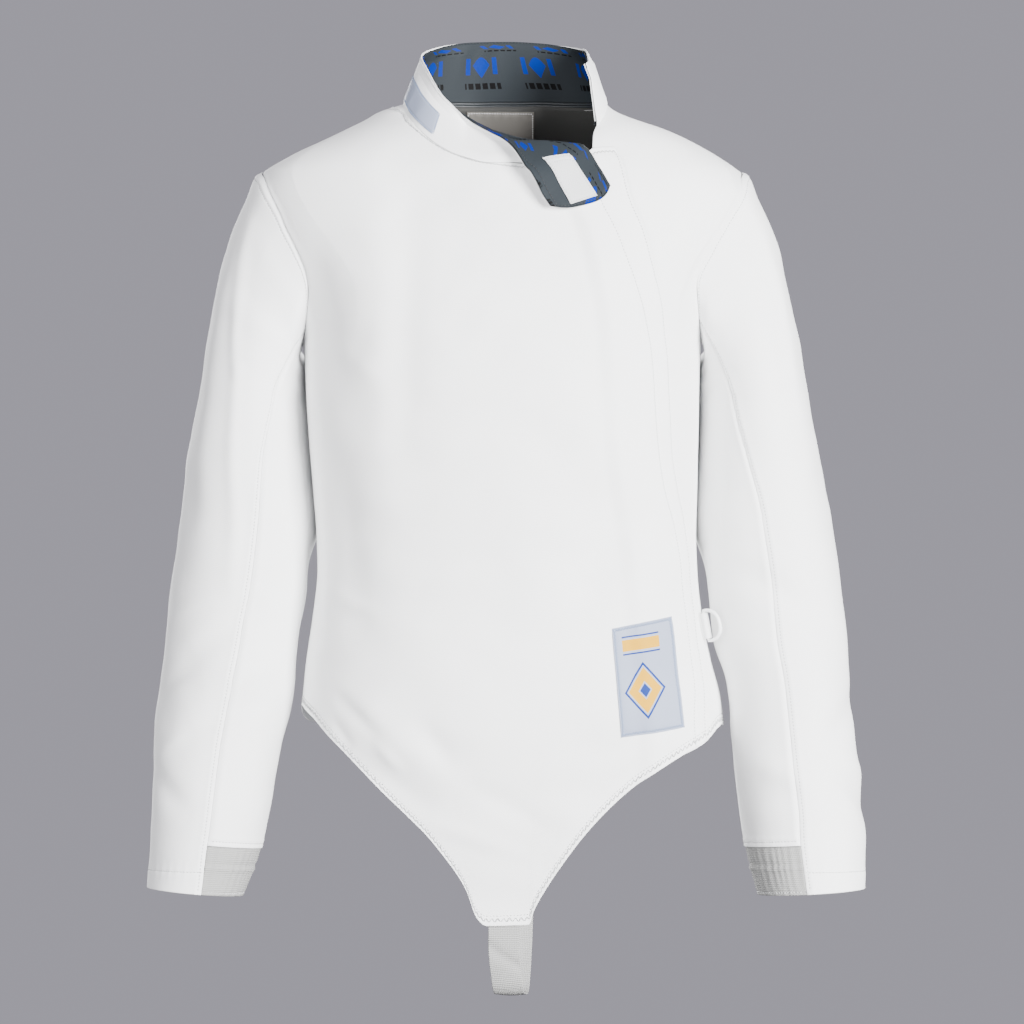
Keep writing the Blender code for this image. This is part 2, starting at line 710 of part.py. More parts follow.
def on_sleeve(side, turn, drop, out=0.0):
    """Points of the sleeve's cloth, out millimetres outside its face."""
    turn, drop = np.broadcast_arrays(np.asarray(turn, float), np.asarray(drop, float))
    low = np.maximum(drop - SMALL_STEP, -CAP_DROP)
    round_it = sleeve_point(side, turn + SMALL_TURN, drop) - sleeve_point(side, turn - SMALL_TURN, drop)
    down_it = sleeve_point(side, turn, drop + SMALL_STEP) - sleeve_point(side, turn, low)
    normal = unit(np.cross(down_it, round_it))
    if side == "right":
        normal = -normal
    body_way = armhole_loop(side, turn)[1]
    at_seam = np.clip(1 - (drop + CAP_DROP) / CAP_SEAM_DROP, 0, 1)
    same_way = np.clip(2 * (normal * body_way).sum(axis=-1), 0, 1)
    at_seam = (at_seam * same_way)[..., None]
    normal = unit(normal * (1 - at_seam) + body_way * at_seam)
    degrees = np.degrees(np.mod(turn + math.pi, 2 * math.pi) - math.pi)
    fold = ridge_heights(degrees, drop, SLEEVE_FOLDS[side])
    from_top, from_wrist = SLEEVE_FOLD_FADE
    fold = fold * np.clip((drop + CAP_DROP) / from_top, 0, 1) * np.clip((CUFF_DROP - drop) / from_wrist, 0, 1)
    return sleeve_point(side, turn, drop) + normal * (fold + out)[..., None]


def seam_turn(side, name, drop):
    """Where a sleeve seam runs: both start at a step of the armhole and swing to their own line."""
    below = SLEEVE[side].at(name, np.maximum(drop, 0))
    top = FRONT_SEAM_TOP if name == "front_seam" else BACK_SEAM_TOP
    part = np.clip(-drop / CAP_DROP, 0, 1)
    return np.radians(below + (top - below) * part ** SEAM_SWING)


def sleeve_panel(name, side, from_seam, to_seam, drops, across, out, wall_depth, material, proud_rows=0):
    """A sleeve piece between two seams, over a list of drops."""
    drops = np.asarray(drops, float)
    start = from_seam(drops)[:, None]
    end = to_seam(drops)[:, None]
    turn = start + (end - start) * np.linspace(0, 1, across)[None, :]
    drop = np.broadcast_to(drops[:, None], turn.shape)
    proud = np.zeros(turn.shape)
    if proud_rows:
        proud[-proud_rows:] = HEM_PROUD
    face = on_sleeve(side, turn, drop, out)
    shift = shrink(face, SLEEVE_SEAM_GAP / 2) - face
    outer = on_sleeve(side, turn, drop, out + proud) + shift
    inner = on_sleeve(side, turn, drop, out - wall_depth) + shift
    return wall(name, outer, inner, material)


def make_sleeve(side, white, elastic):
    """The outer sleeve, the under sleeve and the elastic that draws the wrist in."""
    full_turn = 2 * math.pi

    def front(drop):
        return seam_turn(side, "front_seam", drop)

    def back(drop):
        return seam_turn(side, "back_seam", drop)

    def front_again(drop):
        return front(drop) + full_turn

    cap = np.linspace(-CAP_DROP, 0, 8)
    arm = np.linspace(0, UNDER_HEM_DROP - HEM_HEIGHT, 12)[1:]
    under_drops = np.concatenate([cap, arm, [UNDER_HEM_DROP]])
    wrist = np.array([UNDER_HEM_DROP + 16, CUFF_DROP - HEM_HEIGHT, CUFF_DROP])
    outer_drops = np.concatenate([under_drops, wrist])
    cuff_drops = np.concatenate([[UNDER_HEM_DROP + SEAM_GAP], wrist])
    outer_across, under_across = 16, 11
    sleeve_panel("sleeve_outer_" + side, side, front, back, outer_drops, outer_across, 0.0, CLOTH, white, 2)
    sleeve_panel("sleeve_under_" + side, side, back, front_again, under_drops, under_across, 0.0, CLOTH, white, 2)
    sleeve_panel("cuff_elastic_" + side, side, back, front_again, cuff_drops, under_across, -0.6, CLOTH, elastic)


def patch_grid(corners, across, up):
    """A grid inside four corners, given from the first one the long way round."""
    lower_left, lower_right, upper_right, upper_left = np.array(corners, float)
    u = np.linspace(0, 1, across)[None, :, None]
    v = np.linspace(0, 1, up)[:, None, None]
    grid = ((1 - u) * (1 - v) * lower_left + u * (1 - v) * lower_right
            + (1 - u) * v * upper_left + u * v * upper_right)
    return grid[..., 0], grid[..., 1]


def collar_base(station):
    """The neckline under the collar: on the fronts by x and z, round the back by angle."""
    x = COLLAR.at("base_x", station)
    z = COLLAR.at("base_z", station)
    on_back = (station > COLLAR_BACK_FROM) & (station < COLLAR_BACK_TO)
    part = np.clip((station - COLLAR_BACK_FROM) / (COLLAR_BACK_TO - COLLAR_BACK_FROM), 0, 1)
    angle = np.where(on_back, math.pi * part, body_angle(x, z))
    height = np.where(on_back, NECK_Z + (NECK_BACK_Z - NECK_Z) * np.sin(math.pi * part) ** 2, z)
    rolled = np.clip((station - ROLL_STARTS) / (ROLL_ENDS - ROLL_STARTS), 0, 1)
    main_front = station > COLLAR_BACK_TO
    lift = overlap_lift(body_point(angle, height)) * main_front + ROLL_CLEARANCE * rolled
    return on_body(angle, height, lift)


def collar_middle(station, rise):
    """The middle surface of the collar: up from the neckline, round the crest, to the top edge."""
    station, rise = np.broadcast_arrays(np.asarray(station, float), np.asarray(rise, float))
    crest = np.stack([COLLAR.at("crest_" + axis, station) for axis in "xyz"], axis=-1)
    edge = np.stack([COLLAR.at("edge_" + axis, station) for axis in "xyz"], axis=-1)
    base = collar_base(station)
    lifted = np.clip((station - ROLL_STARTS) / (ROLL_LIFTED_BY - ROLL_STARTS), 0, 1)[..., None]
    base = base + unit(crest - base) * (COLLAR_LIFT + ROLL_LIFT * lifted)
    flat = np.clip((station - TAB_FROM) / TAB_BLEND, 0, 1)[..., None]
    stand = np.linalg.norm(crest - base, axis=-1, keepdims=True) * (1 - flat) + TAB_TOP * flat
    base = crest - unit(unit(crest - base) * (1 - flat) + unit(edge - crest) * flat) * stand
    up = unit(crest - base)
    over = unit(edge - crest)
    half_turn = np.arccos(np.clip((up * over).sum(axis=-1), -0.8, 1)) / 2
    crest = crest + unit(up - over + 1e-9) * (ROLL_RADIUS * (1 / np.cos(half_turn) - 1))[..., None]
    up = unit(crest - base)
    over = unit(edge - crest)
    cosine = np.clip((up * over).sum(axis=-1), -0.95, 1)
    turn = np.arccos(cosine)
    first = np.linalg.norm(crest - base, axis=-1)
    second = np.linalg.norm(edge - crest, axis=-1)
    cut = np.minimum(ROLL_RADIUS * np.tan(turn / 2), 0.9 * np.minimum(first, second))
    radius = cut / np.maximum(np.tan(turn / 2), 1e-6)
    straight = first - cut
    bend = radius * turn
    total = straight + bend + second - cut
    half_roll = np.maximum(bend / 2, ROLL_REACH)
    low = np.clip(straight + bend / 2 - half_roll, ROLL_FIRST * total, 0.80 * total)
    high = np.clip(straight + bend / 2 + half_roll, low + ROLL_SPAN * total, 0.96 * total)
    reach = np.where(rise < ROLL_LOW, low * rise / ROLL_LOW,
                     np.where(rise < ROLL_HIGH,
                              low + (high - low) * (rise - ROLL_LOW) / (ROLL_HIGH - ROLL_LOW),
                              high + (total - high) * (rise - ROLL_HIGH) / (1 - ROLL_HIGH)))
    toward = unit(over - up * cosine[..., None] + 1e-9)
    angle = np.clip((reach - straight) / np.maximum(radius, 1e-6), 0, turn)[..., None]
    round_it = up * np.sin(angle) * radius[..., None] + toward * (1 - np.cos(angle)) * radius[..., None]
    before = np.minimum(reach, straight)[..., None]
    after = np.maximum(reach - straight - bend, 0)[..., None]
    return base + up * before + round_it + over * after


def on_collar(station, rise, out):
    """Points out millimetres outside the collar's middle surface."""
    ahead = np.minimum(station + SMALL_STEP, COLLAR_LENGTH)
    behind = np.maximum(station - SMALL_STEP, 0)
    along = collar_middle(ahead, rise) - collar_middle(behind, rise)
    above = np.minimum(rise + SMALL_RISE, 1)
    below = np.maximum(rise - SMALL_RISE, 0)
    up = collar_middle(station, above) - collar_middle(station, below)
    normal = unit(np.cross(along, up))
    return collar_middle(station, rise) + normal * np.asarray(out)[..., None]


def rounded_tab(station, rise):
    """Draws the grid's end in toward both corners of the tab, so that the tab ends in a curve."""
    first = ROLL_FIRST * rise / ROLL_LOW
    roll = ROLL_FIRST + ROLL_SPAN * (rise - ROLL_LOW) / (ROLL_HIGH - ROLL_LOW)
    start = ROLL_FIRST + ROLL_SPAN
    across = np.where(rise < ROLL_HIGH, roll, start + (1 - start) * (rise - ROLL_HIGH) / (1 - ROLL_HIGH))
    across = np.where(rise < ROLL_LOW, first, across)
    end = TAB_CORNER + (COLLAR_LENGTH - TAB_CORNER) * (1 - (2 * across - 1) ** 2)
    on_tab = np.clip((station - TAB_FROM) / (COLLAR_LENGTH - TAB_FROM), 0, 1)
    return np.where(station > TAB_FROM, TAB_FROM + (end - TAB_FROM) * on_tab, station)


def collar_sheet(name, station, rise, near, far, material):
    """A layer of the collar between two distances from its middle surface."""
    outer, inner = (on_collar(station, rise, np.full_like(rise, out)) for out in (far, near))
    return wall(name, outer, inner, material)


def make_collar(white, grey, fluffy, lilac):
    """The shell and lining, their fastener at the tab, and the small label at the side."""
    tab_end = TAB_FROM + TAB_BLEND
    stretches = ((0, 340, 22), (340, TAB_FROM, 10), (TAB_FROM, tab_end, 8), (tab_end, COLLAR_LENGTH, 4))
    stations = np.unique(np.concatenate([np.linspace(*stretch) for stretch in stretches]))
    rises = np.array([0, 0.18, ROLL_LOW, 0.43, 0.50, 0.57, ROLL_HIGH, 0.82, 1.0])
    station, rise = np.meshgrid(stations, rises)
    station = rounded_tab(station, rise)
    half = COLLAR_GAP / 2
    collar_sheet("collar_shell", station, rise, half, half + THIN_CLOTH, white)
    collar_sheet("collar_lining", station, rise, -half - THIN_CLOTH, -half, grey)
    station, rise = patch_grid(FASTENER, 6, 7)
    face = -half - THIN_CLOTH - SEAM_GAP
    collar_sheet("collar_fastener", station, rise, face - FASTENER_PILE, face, fluffy)
    station, rise = np.meshgrid(stations[slice(*COLLAR_LABEL_COLUMNS)], COLLAR_LABEL_RISES)
    face = half + THIN_CLOTH + SEAM_GAP
    collar_sheet("label_collar", station, rise, face, face + LABEL_WALL, lilac)


def make_labels(lilac, cream):
    """The label low on the main front and the bare one inside the back of the neck."""
    x, z = patch_grid(FRONT_LABEL, 7, 10)
    angle = body_angle(x, z)
    outer = on_body(angle, z, FRONT_LABEL_GAP + LABEL_WALL, overlap=True)
    inner = on_body(angle, z, FRONT_LABEL_GAP, overlap=True)
    wall("label_front", outer, inner, lilac)
    x, z = patch_grid(NECK_LABEL, 7, 4)
    angle = body_angle(x, z, front=False)
    face = -CLOTH - NECK_LABEL_GAP
    wall("label_neck", on_body(angle, z, face), on_body(angle, z, face - LABEL_WALL), cream)


def make_strap(material):
    """The crotch strap: sewn inside the front's tip, it hangs in a loop up to the back's hem."""
    part = np.linspace(0, 1, 25)
    line = np.stack([STRAP_PATH.at(axis, part) for axis in "xyz"], axis=-1)
    ahead = unit(np.gradient(line, axis=0))
    across = np.broadcast_to(np.array([1.0, 0.0, 0.0]), line.shape)
    across = unit(across - ahead * (across * ahead).sum(axis=-1, keepdims=True))
    normal = unit(np.cross(across, ahead))
    width = np.linspace(-0.5, 0.5, 4)[None, :, None] * STRAP_WIDTH
    face = line[:, None] + across[:, None] * width
    half = normal[:, None] * STRAP_WALL / 2
    return wall("crotch_strap", face + half, face - half, material)


def ring_axes(swing):
    """The hinge line down the ring's bar, and the ways out along a swing and square to both."""
    bar = unit(np.array(RING_BAR_TOP))
    turn = math.radians(swing)
    out = np.array([math.cos(turn), -math.sin(turn), 0.0])
    out = unit(out - bar * out.dot(bar))
    return bar, out, np.cross(bar, out)


def make_ring(material):
    """The ring: a straight bar in the loop and a bow round it, one round wire."""
    bar, out, beside = ring_axes(RING_SWING)
    half = RING_BAR / 2
    bow = np.linspace(-90, 90, 15)
    line = [(half * math.sin(math.radians(a)), RING_DEPTH * math.cos(math.radians(a)) ** 0.7) for a in bow]
    line += [(half * t, 0.0) for t in (0.6, 0.2, -0.2, -0.6)]
    line = np.array(line)
    ahead = np.roll(line, -1, axis=0) - np.roll(line, 1, axis=0)
    ahead = unit(ahead)
    sideways = np.stack([ahead[:, 1], -ahead[:, 0]], axis=-1)
    sides = 8
    maker = bmesh.new()
    rings = []
    for point, way in zip(line, sideways):
        ring = []
        for k in range(sides):
            a = 2 * math.pi * k / sides
            flat = point + way * RING_WIRE * math.cos(a)
            place = bar * flat[0] + out * flat[1] + beside * RING_WIRE * math.sin(a)
            ring.append(maker.verts.new(place * MM))
        rings.append(ring)
    for ring, following in zip(rings, rings[1:] + rings[:1]):
        for k in range(sides):
            n = (k + 1) % sides
            maker.faces.new((ring[k], ring[n], following[n], following[k]))
    made = make_object("d_ring", maker, material)
    made.location = np.array(RING_CENTRE) * MM
    return made


def make_ring_tab(material):
    """The cloth loop that holds the ring's bar: a round eye with a flat tail to the side seam."""
    bar, out, beside = ring_axes(TAB_SWING)
    outer_radius = TAB_HOLE + TAB_WALL
    sides = 14
    open_angle = math.asin(TAB_WALL / outer_radius)
    angles = np.linspace(-math.pi + open_angle, math.pi - open_angle, sides)
    outer = [(outer_radius * math.cos(a), outer_radius * math.sin(a)) for a in angles]
    outer += [(-TAB_TAIL, TAB_WALL), (-TAB_TAIL, -TAB_WALL)]
    round_eye = np.linspace(-math.pi, math.pi, sides)[:-1]
    eye = [(TAB_HOLE * math.cos(a), TAB_HOLE * math.sin(a)) for a in round_eye]
    maker = bmesh.new()
    ends = []
    for level in (-TAB_WIDTH / 2, TAB_WIDTH / 2):
        loops = []
        for outline in (outer, eye):
            verts = [maker.verts.new((np.array(RING_CENTRE) + bar * level + out * p + beside * q) * MM)
                     for p, q in outline]
            edges = [maker.edges.new((a, b)) for a, b in zip(verts, verts[1:] + verts[:1])]
            loops.append((verts, edges))
        bmesh.ops.triangle_fill(maker, edges=loops[0][1] + loops[1][1], use_beauty=True)
        ends.append(loops)
    for (low, _), (high, _) in zip(*ends):
        for k in range(len(low)):
            n = (k + 1) % len(low)
            maker.faces.new((low[k], low[n], high[n], high[k]))
    return make_object("ring_tab", maker, material)


def main():
    for old in list(bpy.data.objects):
        bpy.data.objects.remove(old, do_unlink=True)
    white = make_material("jacket_cloth", WHITE, 0.75)
    elastic = make_material("elastic", ELASTIC_WHITE, 0.85)
    grey = make_material("collar_lining", LINING_GREY, 0.5)
    fluffy = make_material("hook_and_loop", ELASTIC_WHITE, 0.95)
    lilac = make_material("label_lilac", LABEL_LILAC, 0.7)
    cream = make_material("label_cream", LABEL_CREAM, 0.6)
    plastic = make_material("ring_plastic", PLASTIC_WHITE, 0.35)
    make_front_right(white)
    make_front_left(white)
    make_back(white)
    for side in ("right", "left"):
        make_sleeve(side, white, elastic)
    make_collar(white, grey, fluffy, lilac)
    make_labels(lilac, cream)
    make_strap(elastic)
    make_ring(plastic)
    make_ring_tab(white)


main()
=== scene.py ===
"""Looks of a white fencing jacket in its worn form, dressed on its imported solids.

The cloth follows the same forms as the solids: a ring surface for the body, ovals for the sleeves and a
rolled strip for the collar. Lengths are millimetres until a mesh is made. X is the wearer's left, -Y the
front, +Z up, and the origin is at the base of the neck.
"""

import logging
import math
from dataclasses import dataclass, field
from enum import Enum
from functools import partial
from typing import Callable

import bpy
import numpy as np
from numpy.typing import NDArray
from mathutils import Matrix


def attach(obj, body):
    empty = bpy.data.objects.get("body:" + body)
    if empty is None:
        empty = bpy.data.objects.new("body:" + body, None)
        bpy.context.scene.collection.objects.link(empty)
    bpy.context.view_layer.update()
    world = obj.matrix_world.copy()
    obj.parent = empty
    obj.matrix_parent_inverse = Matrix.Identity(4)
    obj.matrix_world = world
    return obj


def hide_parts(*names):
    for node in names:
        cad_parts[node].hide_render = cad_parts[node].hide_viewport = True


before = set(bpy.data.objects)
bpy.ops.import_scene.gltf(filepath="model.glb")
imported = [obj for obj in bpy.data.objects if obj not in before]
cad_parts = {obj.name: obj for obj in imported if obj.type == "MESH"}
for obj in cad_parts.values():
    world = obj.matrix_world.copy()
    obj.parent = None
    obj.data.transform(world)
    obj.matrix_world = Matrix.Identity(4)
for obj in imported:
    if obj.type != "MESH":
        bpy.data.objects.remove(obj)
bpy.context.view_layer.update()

Array = NDArray[np.float64]
Feed = bpy.types.NodeSocket | float | tuple[float, ...]
Chart = Callable[[Array, Array], tuple[Array, Array]]
Surface = Callable[[Array, Array, Array], Array]
Line = Callable[[Array], Array]
LOG = logging.getLogger("fencing_jacket")
MM = 0.001
CLOTH = 1.6
FULL_TURN = 2 * math.pi


class Body(Enum):
    """The record's bodies."""

    JACKET = "jacket"
    RING = "ring"


class Side(Enum):
    """The wearer's side that a sleeve is on; the value is the sign of its x."""

    RIGHT = -1.0
    LEFT = 1.0

    @property
    def word(self) -> str:
        """The side's name in piece names."""
        return self.name.lower()


class Slot(Enum):
    """The record's material slots."""

    CLOTH = "jacket_cloth"
    ELASTIC = "elastic"
    LINING = "collar_lining"
    PILE = "hook_and_loop"
    LILAC = "label_lilac"
    CREAM = "label_cream"
    PLASTIC = "ring_plastic"


class Edge(Enum):
    """The four edges of a panel."""

    LEFT = "left"
    RIGHT = "right"
    BOTTOM = "bottom"
    TOP = "top"

    @property
    def upright(self) -> bool:
        """Whether the edge runs up the panel."""
        return self in (Edge.LEFT, Edge.RIGHT)


def unit(vectors: Array) -> Array:
    """Vectors of length one, each vector over its own length."""
    return vectors / np.maximum(np.linalg.norm(vectors, axis=-1, keepdims=True), 1e-12)


def soft_step(value: Array) -> Array:
    """Goes from 0 to 1 as value does, flat at both ends: 3 v squared less 2 v cubed."""
    value = np.clip(value, 0, 1)
    return value * value * (3 - 2 * value)


def bell(distance: Array, width: float) -> Array:
    """One at distance 0, falling off as e to the minus square of distance over width."""
    return np.exp(-((distance / width) ** 2))


class Rows:
    """A short table with named columns, read smoothly between its rows by the first column."""

    def __init__(self, names: str, *rows: tuple[float, ...]) -> None:
        """Keeps the rows' columns under their names."""
        data = np.array(rows, float)
        self.names = names.split()
        self.key: Array = data[:, 0]
        self.columns = dict(zip(self.names, data.T))

    def at(self, name: str, where: Array) -> Array:
        """A column at any keys, by cubics whose slopes are harmonic means, so they never swing past a row.

        Args:
            name: the column.
            where: keys, held inside the table.

        Returns:
            The column's values there.
        """
        values = self.columns[name]
        where = np.clip(np.asarray(where, float), self.key[0], self.key[-1])
        steps = np.diff(self.key)
        slopes = np.diff(values) / steps
        before, after = slopes[:-1], slopes[1:]
        weight_a = 2 * steps[1:] + steps[:-1]
        weight_b = steps[1:] + 2 * steps[:-1]
        same_way = before * after > 0
        safe_before = np.where(same_way, before, 1.0)
        safe_after = np.where(same_way, after, 1.0)
        mean = (weight_a + weight_b) / (weight_a / safe_before + weight_b / safe_after)
        tangents = np.concatenate([slopes[:1], np.where(same_way, mean, 0.0), slopes[-1:]])
        row = np.clip(np.searchsorted(self.key, where, side="right") - 1, 0, len(steps) - 1)
        t = (where - self.key[row]) / steps[row]
        start = values[row] * (1 + 2 * t) * (1 - t) ** 2 + tangents[row] * steps[row] * t * (1 - t) ** 2
        end = values[row + 1] * t * t * (3 - 2 * t) + tangents[row + 1] * steps[row] * t * t * (t - 1)
        return start + end

    def point(self, names: str, where: Array) -> Array:
        """Several columns side by side at the same keys."""
        return np.stack([self.at(name, where) for name in names.split()], axis=-1)

    def ridges(self, x: Array, z: Array) -> Array:
        """Sum of soft ridges, one a row: a bell beside its line that fades as a sine to both ends.

        Args:
            x: first coordinate of the places.
            z: second coordinate of the places.

        Returns:
            How far the cloth stands out at each place.
        """
        total = np.zeros(np.broadcast(x, z).shape)
        for x1, z1, x2, z2, width, height in zip(*[self.columns[name] for name in self.names[1:]]):
            along = np.array([x2 - x1, z2 - z1])
            length = np.hypot(*along)
            along = along / length
            part = ((x - x1) * along[0] + (z - z1) * along[1]) / length
            beside = (x - x1) * -along[1] + (z - z1) * along[0]
            inside = np.clip(part, 0, 1)
            past = (part - inside) * length
            fade = np.sin(np.pi * np.clip(0.12 + 0.76 * inside, 0, 1)) ** 0.8
            total = total + height * fade * np.exp(-(beside**2 + past**2) / width**2)
        return total


@dataclass(frozen=True)
class Rumple:
    """The small unevenness of cloth: waves of seeded ways and lengths, each bent by a slower wave."""

    seed: int
    height: float
    longest: float = 120.0
    shortest: float = 34.0
    waves: int = 9

    def at(self, u: Array, v: Array) -> Array:
        """How far the cloth stands out.

        Args:
            u: millimetres across the cloth.
            v: millimetres along it.

        Returns:
            Heights in millimetres, both ways about 0.
        """
        chance = np.random.default_rng(self.seed)
        total = np.zeros(np.broadcast(u, v).shape)
        for wave in range(self.waves):
            length = self.longest * (self.shortest / self.longest) ** (wave / (self.waves - 1))
            way, bend_phase, phase = chance.uniform(0, FULL_TURN, 3)
            along = (u * math.cos(way) + v * math.sin(way)) * FULL_TURN / length
            across = (v * math.cos(way) - u * math.sin(way)) * FULL_TURN / (2.7 * length)
            total = total + length * np.sin(along + 1.4 * np.sin(across + bend_phase) + phase)
        return self.height * total / (self.longest * math.sqrt(self.waves / 2) * 0.6)


# --- Meshes -----------------------------------------------------------------------------------------


def make_object(name: str, vertices: Array, faces: list[Array], uv: Array | None = None,
                inner: Array | None = None) -> bpy.types.Object:
    """An object at the origin from vertices in millimetres.

    Args:
        name: the piece's name.
        vertices: one row per vertex.
        faces: arrays of vertex numbers, one row per face, each array with faces of one size.
        uv: millimetres across and along the cloth at each vertex.
        inner: 1 at vertices on the cloth's hidden side and 0 on its face.

    Returns:
        The linked object, shaded smooth.
    """
    mesh = bpy.data.meshes.new(name)
    corners = np.concatenate([group.ravel() for group in faces]).astype(np.int32)
    sizes = np.concatenate([np.full(len(group), group.shape[1]) for group in faces])
    mesh.vertices.add(len(vertices))
    mesh.vertices.foreach_set("co", (vertices * MM).astype(np.float32).ravel())
    mesh.loops.add(len(corners))
    mesh.loops.foreach_set("vertex_index", corners)
    mesh.polygons.add(len(sizes))
    mesh.polygons.foreach_set("loop_start", (np.cumsum(sizes) - sizes).astype(np.int32))
    mesh.update(calc_edges=True)
    if uv is not None:
        layer = mesh.uv_layers.new(name="Lengths")
        layer.data.foreach_set("uv", (uv * MM)[corners].astype(np.float32).ravel())
    if inner is not None:
        mesh.attributes.new("Inner", "FLOAT", "POINT").data.foreach_set("value", inner.astype(np.float32))
    mesh.shade_smooth()
    made = bpy.data.objects.new(name, mesh)
    bpy.context.scene.collection.objects.link(made)
    return made


def make_wall(name: str, face: Array, back: Array, uv: Array) -> bpy.types.Object:
    """A closed sheet: its face, its back, and a rim that goes round from one to the other as a half circle.

    Args:
        name: the piece's name.
        face: grid of points on the side that shows.
        back: the same grid on the other side.
        uv: millimetres across and along at each grid point.

    Returns:
        The linked object.
    """
    rows, columns = face.shape[:2]
    middle = (face + back) / 2
    half = (face - back) / 2
    row = np.clip(np.arange(rows), 1, rows - 2)
    column = np.clip(np.arange(columns), 1, columns - 2)
    inward = middle[row][:, column] - middle
    radius = np.minimum(0.9 * np.linalg.norm(half, axis=-1), 0.6 * np.linalg.norm(inward, axis=-1))[..., None]
    way = unit(inward)
    middle = middle + way * radius
    number = np.arange(rows * columns).reshape(rows, columns)
    rim = np.concatenate([number[0, :-1], number[:-1, -1], number[-1, :0:-1], number[:0:-1, 0]])
    flat_middle, flat_half, flat_way = (grid.reshape(-1, 3)[rim] for grid in (middle, half, -way * radius))
    loops = [flat_middle + flat_half * math.cos(a) + flat_way * math.sin(a)
             for a in np.radians([45.0, 90.0, 135.0])]
    vertices = np.concatenate([(middle + half).reshape(-1, 3), (middle - half).reshape(-1, 3), *loops])
    count = rows * columns
    lower, upper = number[:-1], number[1:]
    quads = np.stack([lower[:, :-1], lower[:, 1:], upper[:, 1:], upper[:, :-1]], axis=-1).reshape(-1, 4)
    rings = [rim, *[2 * count + len(rim) * k + np.arange(len(rim)) for k in range(3)], rim + count]
    sides = [np.stack([np.roll(a, -1), a, b, np.roll(b, -1)], axis=-1) for a, b in zip(rings, rings[1:])]
    faces = np.concatenate([quads, (quads + count)[:, ::-1], *sides])
    crossing = np.cross(middle[:-1, 1:] - middle[:-1, :-1], middle[1:, :-1] - middle[:-1, :-1])
    if (crossing * half[:-1, :-1]).sum() < 0:
        faces = faces[:, ::-1]
    flat_uv = uv.reshape(-1, 2)
    inner = np.repeat([0.0, 1.0, 0.0, 0.0, 0.5], [count, count, *[len(rim)] * 3])
    return make_object(name, vertices, [faces], np.concatenate([flat_uv, flat_uv, *[flat_uv[rim]] * 3]), inner)


def make_tube(name: str, line: Array, radius: float, sides: int, closed: bool) -> bpy.types.Object:
    """A round wire swept along a line, with its rings square to the line and its ends closed by a fan.

    Args:
        name: the piece's name.
        line: points along the middle.
        radius: of the wire.
        sides: corners of each ring.
        closed: whether the line comes back to its start.

    Returns:
        The linked object.
    """
    ahead = np.roll(line, -1, axis=0) - np.roll(line, 1, axis=0)
    if not closed:
        ahead[0], ahead[-1] = line[1] - line[0], line[-1] - line[-2]
    ahead = unit(ahead)
    beside = [unit(np.cross(ahead[0], np.array([0.31, 0.17, 0.93])))]
    for way in ahead[1:]:
        beside.append(unit(beside[-1] - way * np.dot(beside[-1], way)))
    beside = np.array(beside)
    other = np.cross(ahead, beside)
    turn = np.linspace(0, FULL_TURN, sides, endpoint=False)[None, :, None]
    rings = line[:, None] + radius * (beside[:, None] * np.cos(turn) + other[:, None] * np.sin(turn))
    number = np.arange(len(line) * sides).reshape(len(line), sides)
    after = np.roll(number, -1, axis=0)
    if not closed:
        number, after = number[:-1], after[:-1]
    quads = np.stack([number, np.roll(number, -1, axis=1), np.roll(after, -1, axis=1), after], axis=-1)
    faces = [quads.reshape(-1, 4)]
    if not closed:
        faces += [np.arange(sides)[None, ::-1], (len(line) - 1) * sides + np.arange(sides)[None]]
    lengths = np.concatenate([[0], np.cumsum(np.linalg.norm(np.diff(line, axis=0), axis=-1))])
    uv = np.stack(np.broadcast_arrays(radius * turn[..., 0], lengths[:, None]), axis=-1).reshape(-1, 2)
    return make_object(name, rings.reshape(-1, 3), faces, uv)


@dataclass
class Thread:
    """Stitches of one piece: each is a short six-sided bead that stands up in its middle."""

    radius: float = 0.42
    sides: int = 6
    starts: list[Array] = field(default_factory=list)
    ends: list[Array] = field(default_factory=list)
    normals: list[Array] = field(default_factory=list)

    def add(self, start: Array, end: Array, normal: Array) -> None:
        """Keeps stitches from start to end points on cloth with these normals."""
        self.starts.append(start)
        self.ends.append(end)
        self.normals.append(normal)

    def build(self, name: str) -> bpy.types.Object:
        """All of the stitches as one object of beads with pointed ends."""
        start, end, normal = (np.concatenate(part) for part in (self.starts, self.ends, self.normals))
        ahead = unit(end - start)
        side = unit(np.cross(normal, ahead))
        up = np.cross(ahead, side)
        turn = np.linspace(0, FULL_TURN, self.sides, endpoint=False)[None, :, None]
        circle = self.radius * (side[:, None] * np.cos(turn) + up[:, None] * np.sin(turn))
        near = start[:, None] * 0.8 + end[:, None] * 0.2 + circle
        far = start[:, None] * 0.2 + end[:, None] * 0.8 + circle
        dip = up * self.radius
        vertices = np.concatenate([(start - dip)[:, None], near, far, (end - dip)[:, None]], axis=1)
        k = np.arange(self.sides)
        n = (k + 1) % self.sides
        each = 2 * self.sides + 2
        base = (np.arange(len(start)) * each)[:, None, None]
        first = np.stack([0 * k, 1 + n, 1 + k], axis=-1)
        middle = np.stack([1 + k, 1 + n, 1 + self.sides + n, 1 + self.sides + k], axis=-1)
        last = np.stack([0 * k + each - 1, 1 + self.sides + k, 1 + self.sides + n], axis=-1)
        faces = [(base + part[None]).reshape(-1, part.shape[1]) for part in (first, middle, last)]
        return make_object(name, vertices.reshape(-1, 3), faces)


# --- Panels -----------------------------------------------------------------------------------------


@dataclass(frozen=True)
class Seam:
    """A row of stitches beside an edge: plain, or swinging further in as a zigzag."""

    edge: Edge
    inset: float
    start: float = 0.0
    stop: float = 1.0
    zigzag: float = 0.0
    pitch: float = 3.0


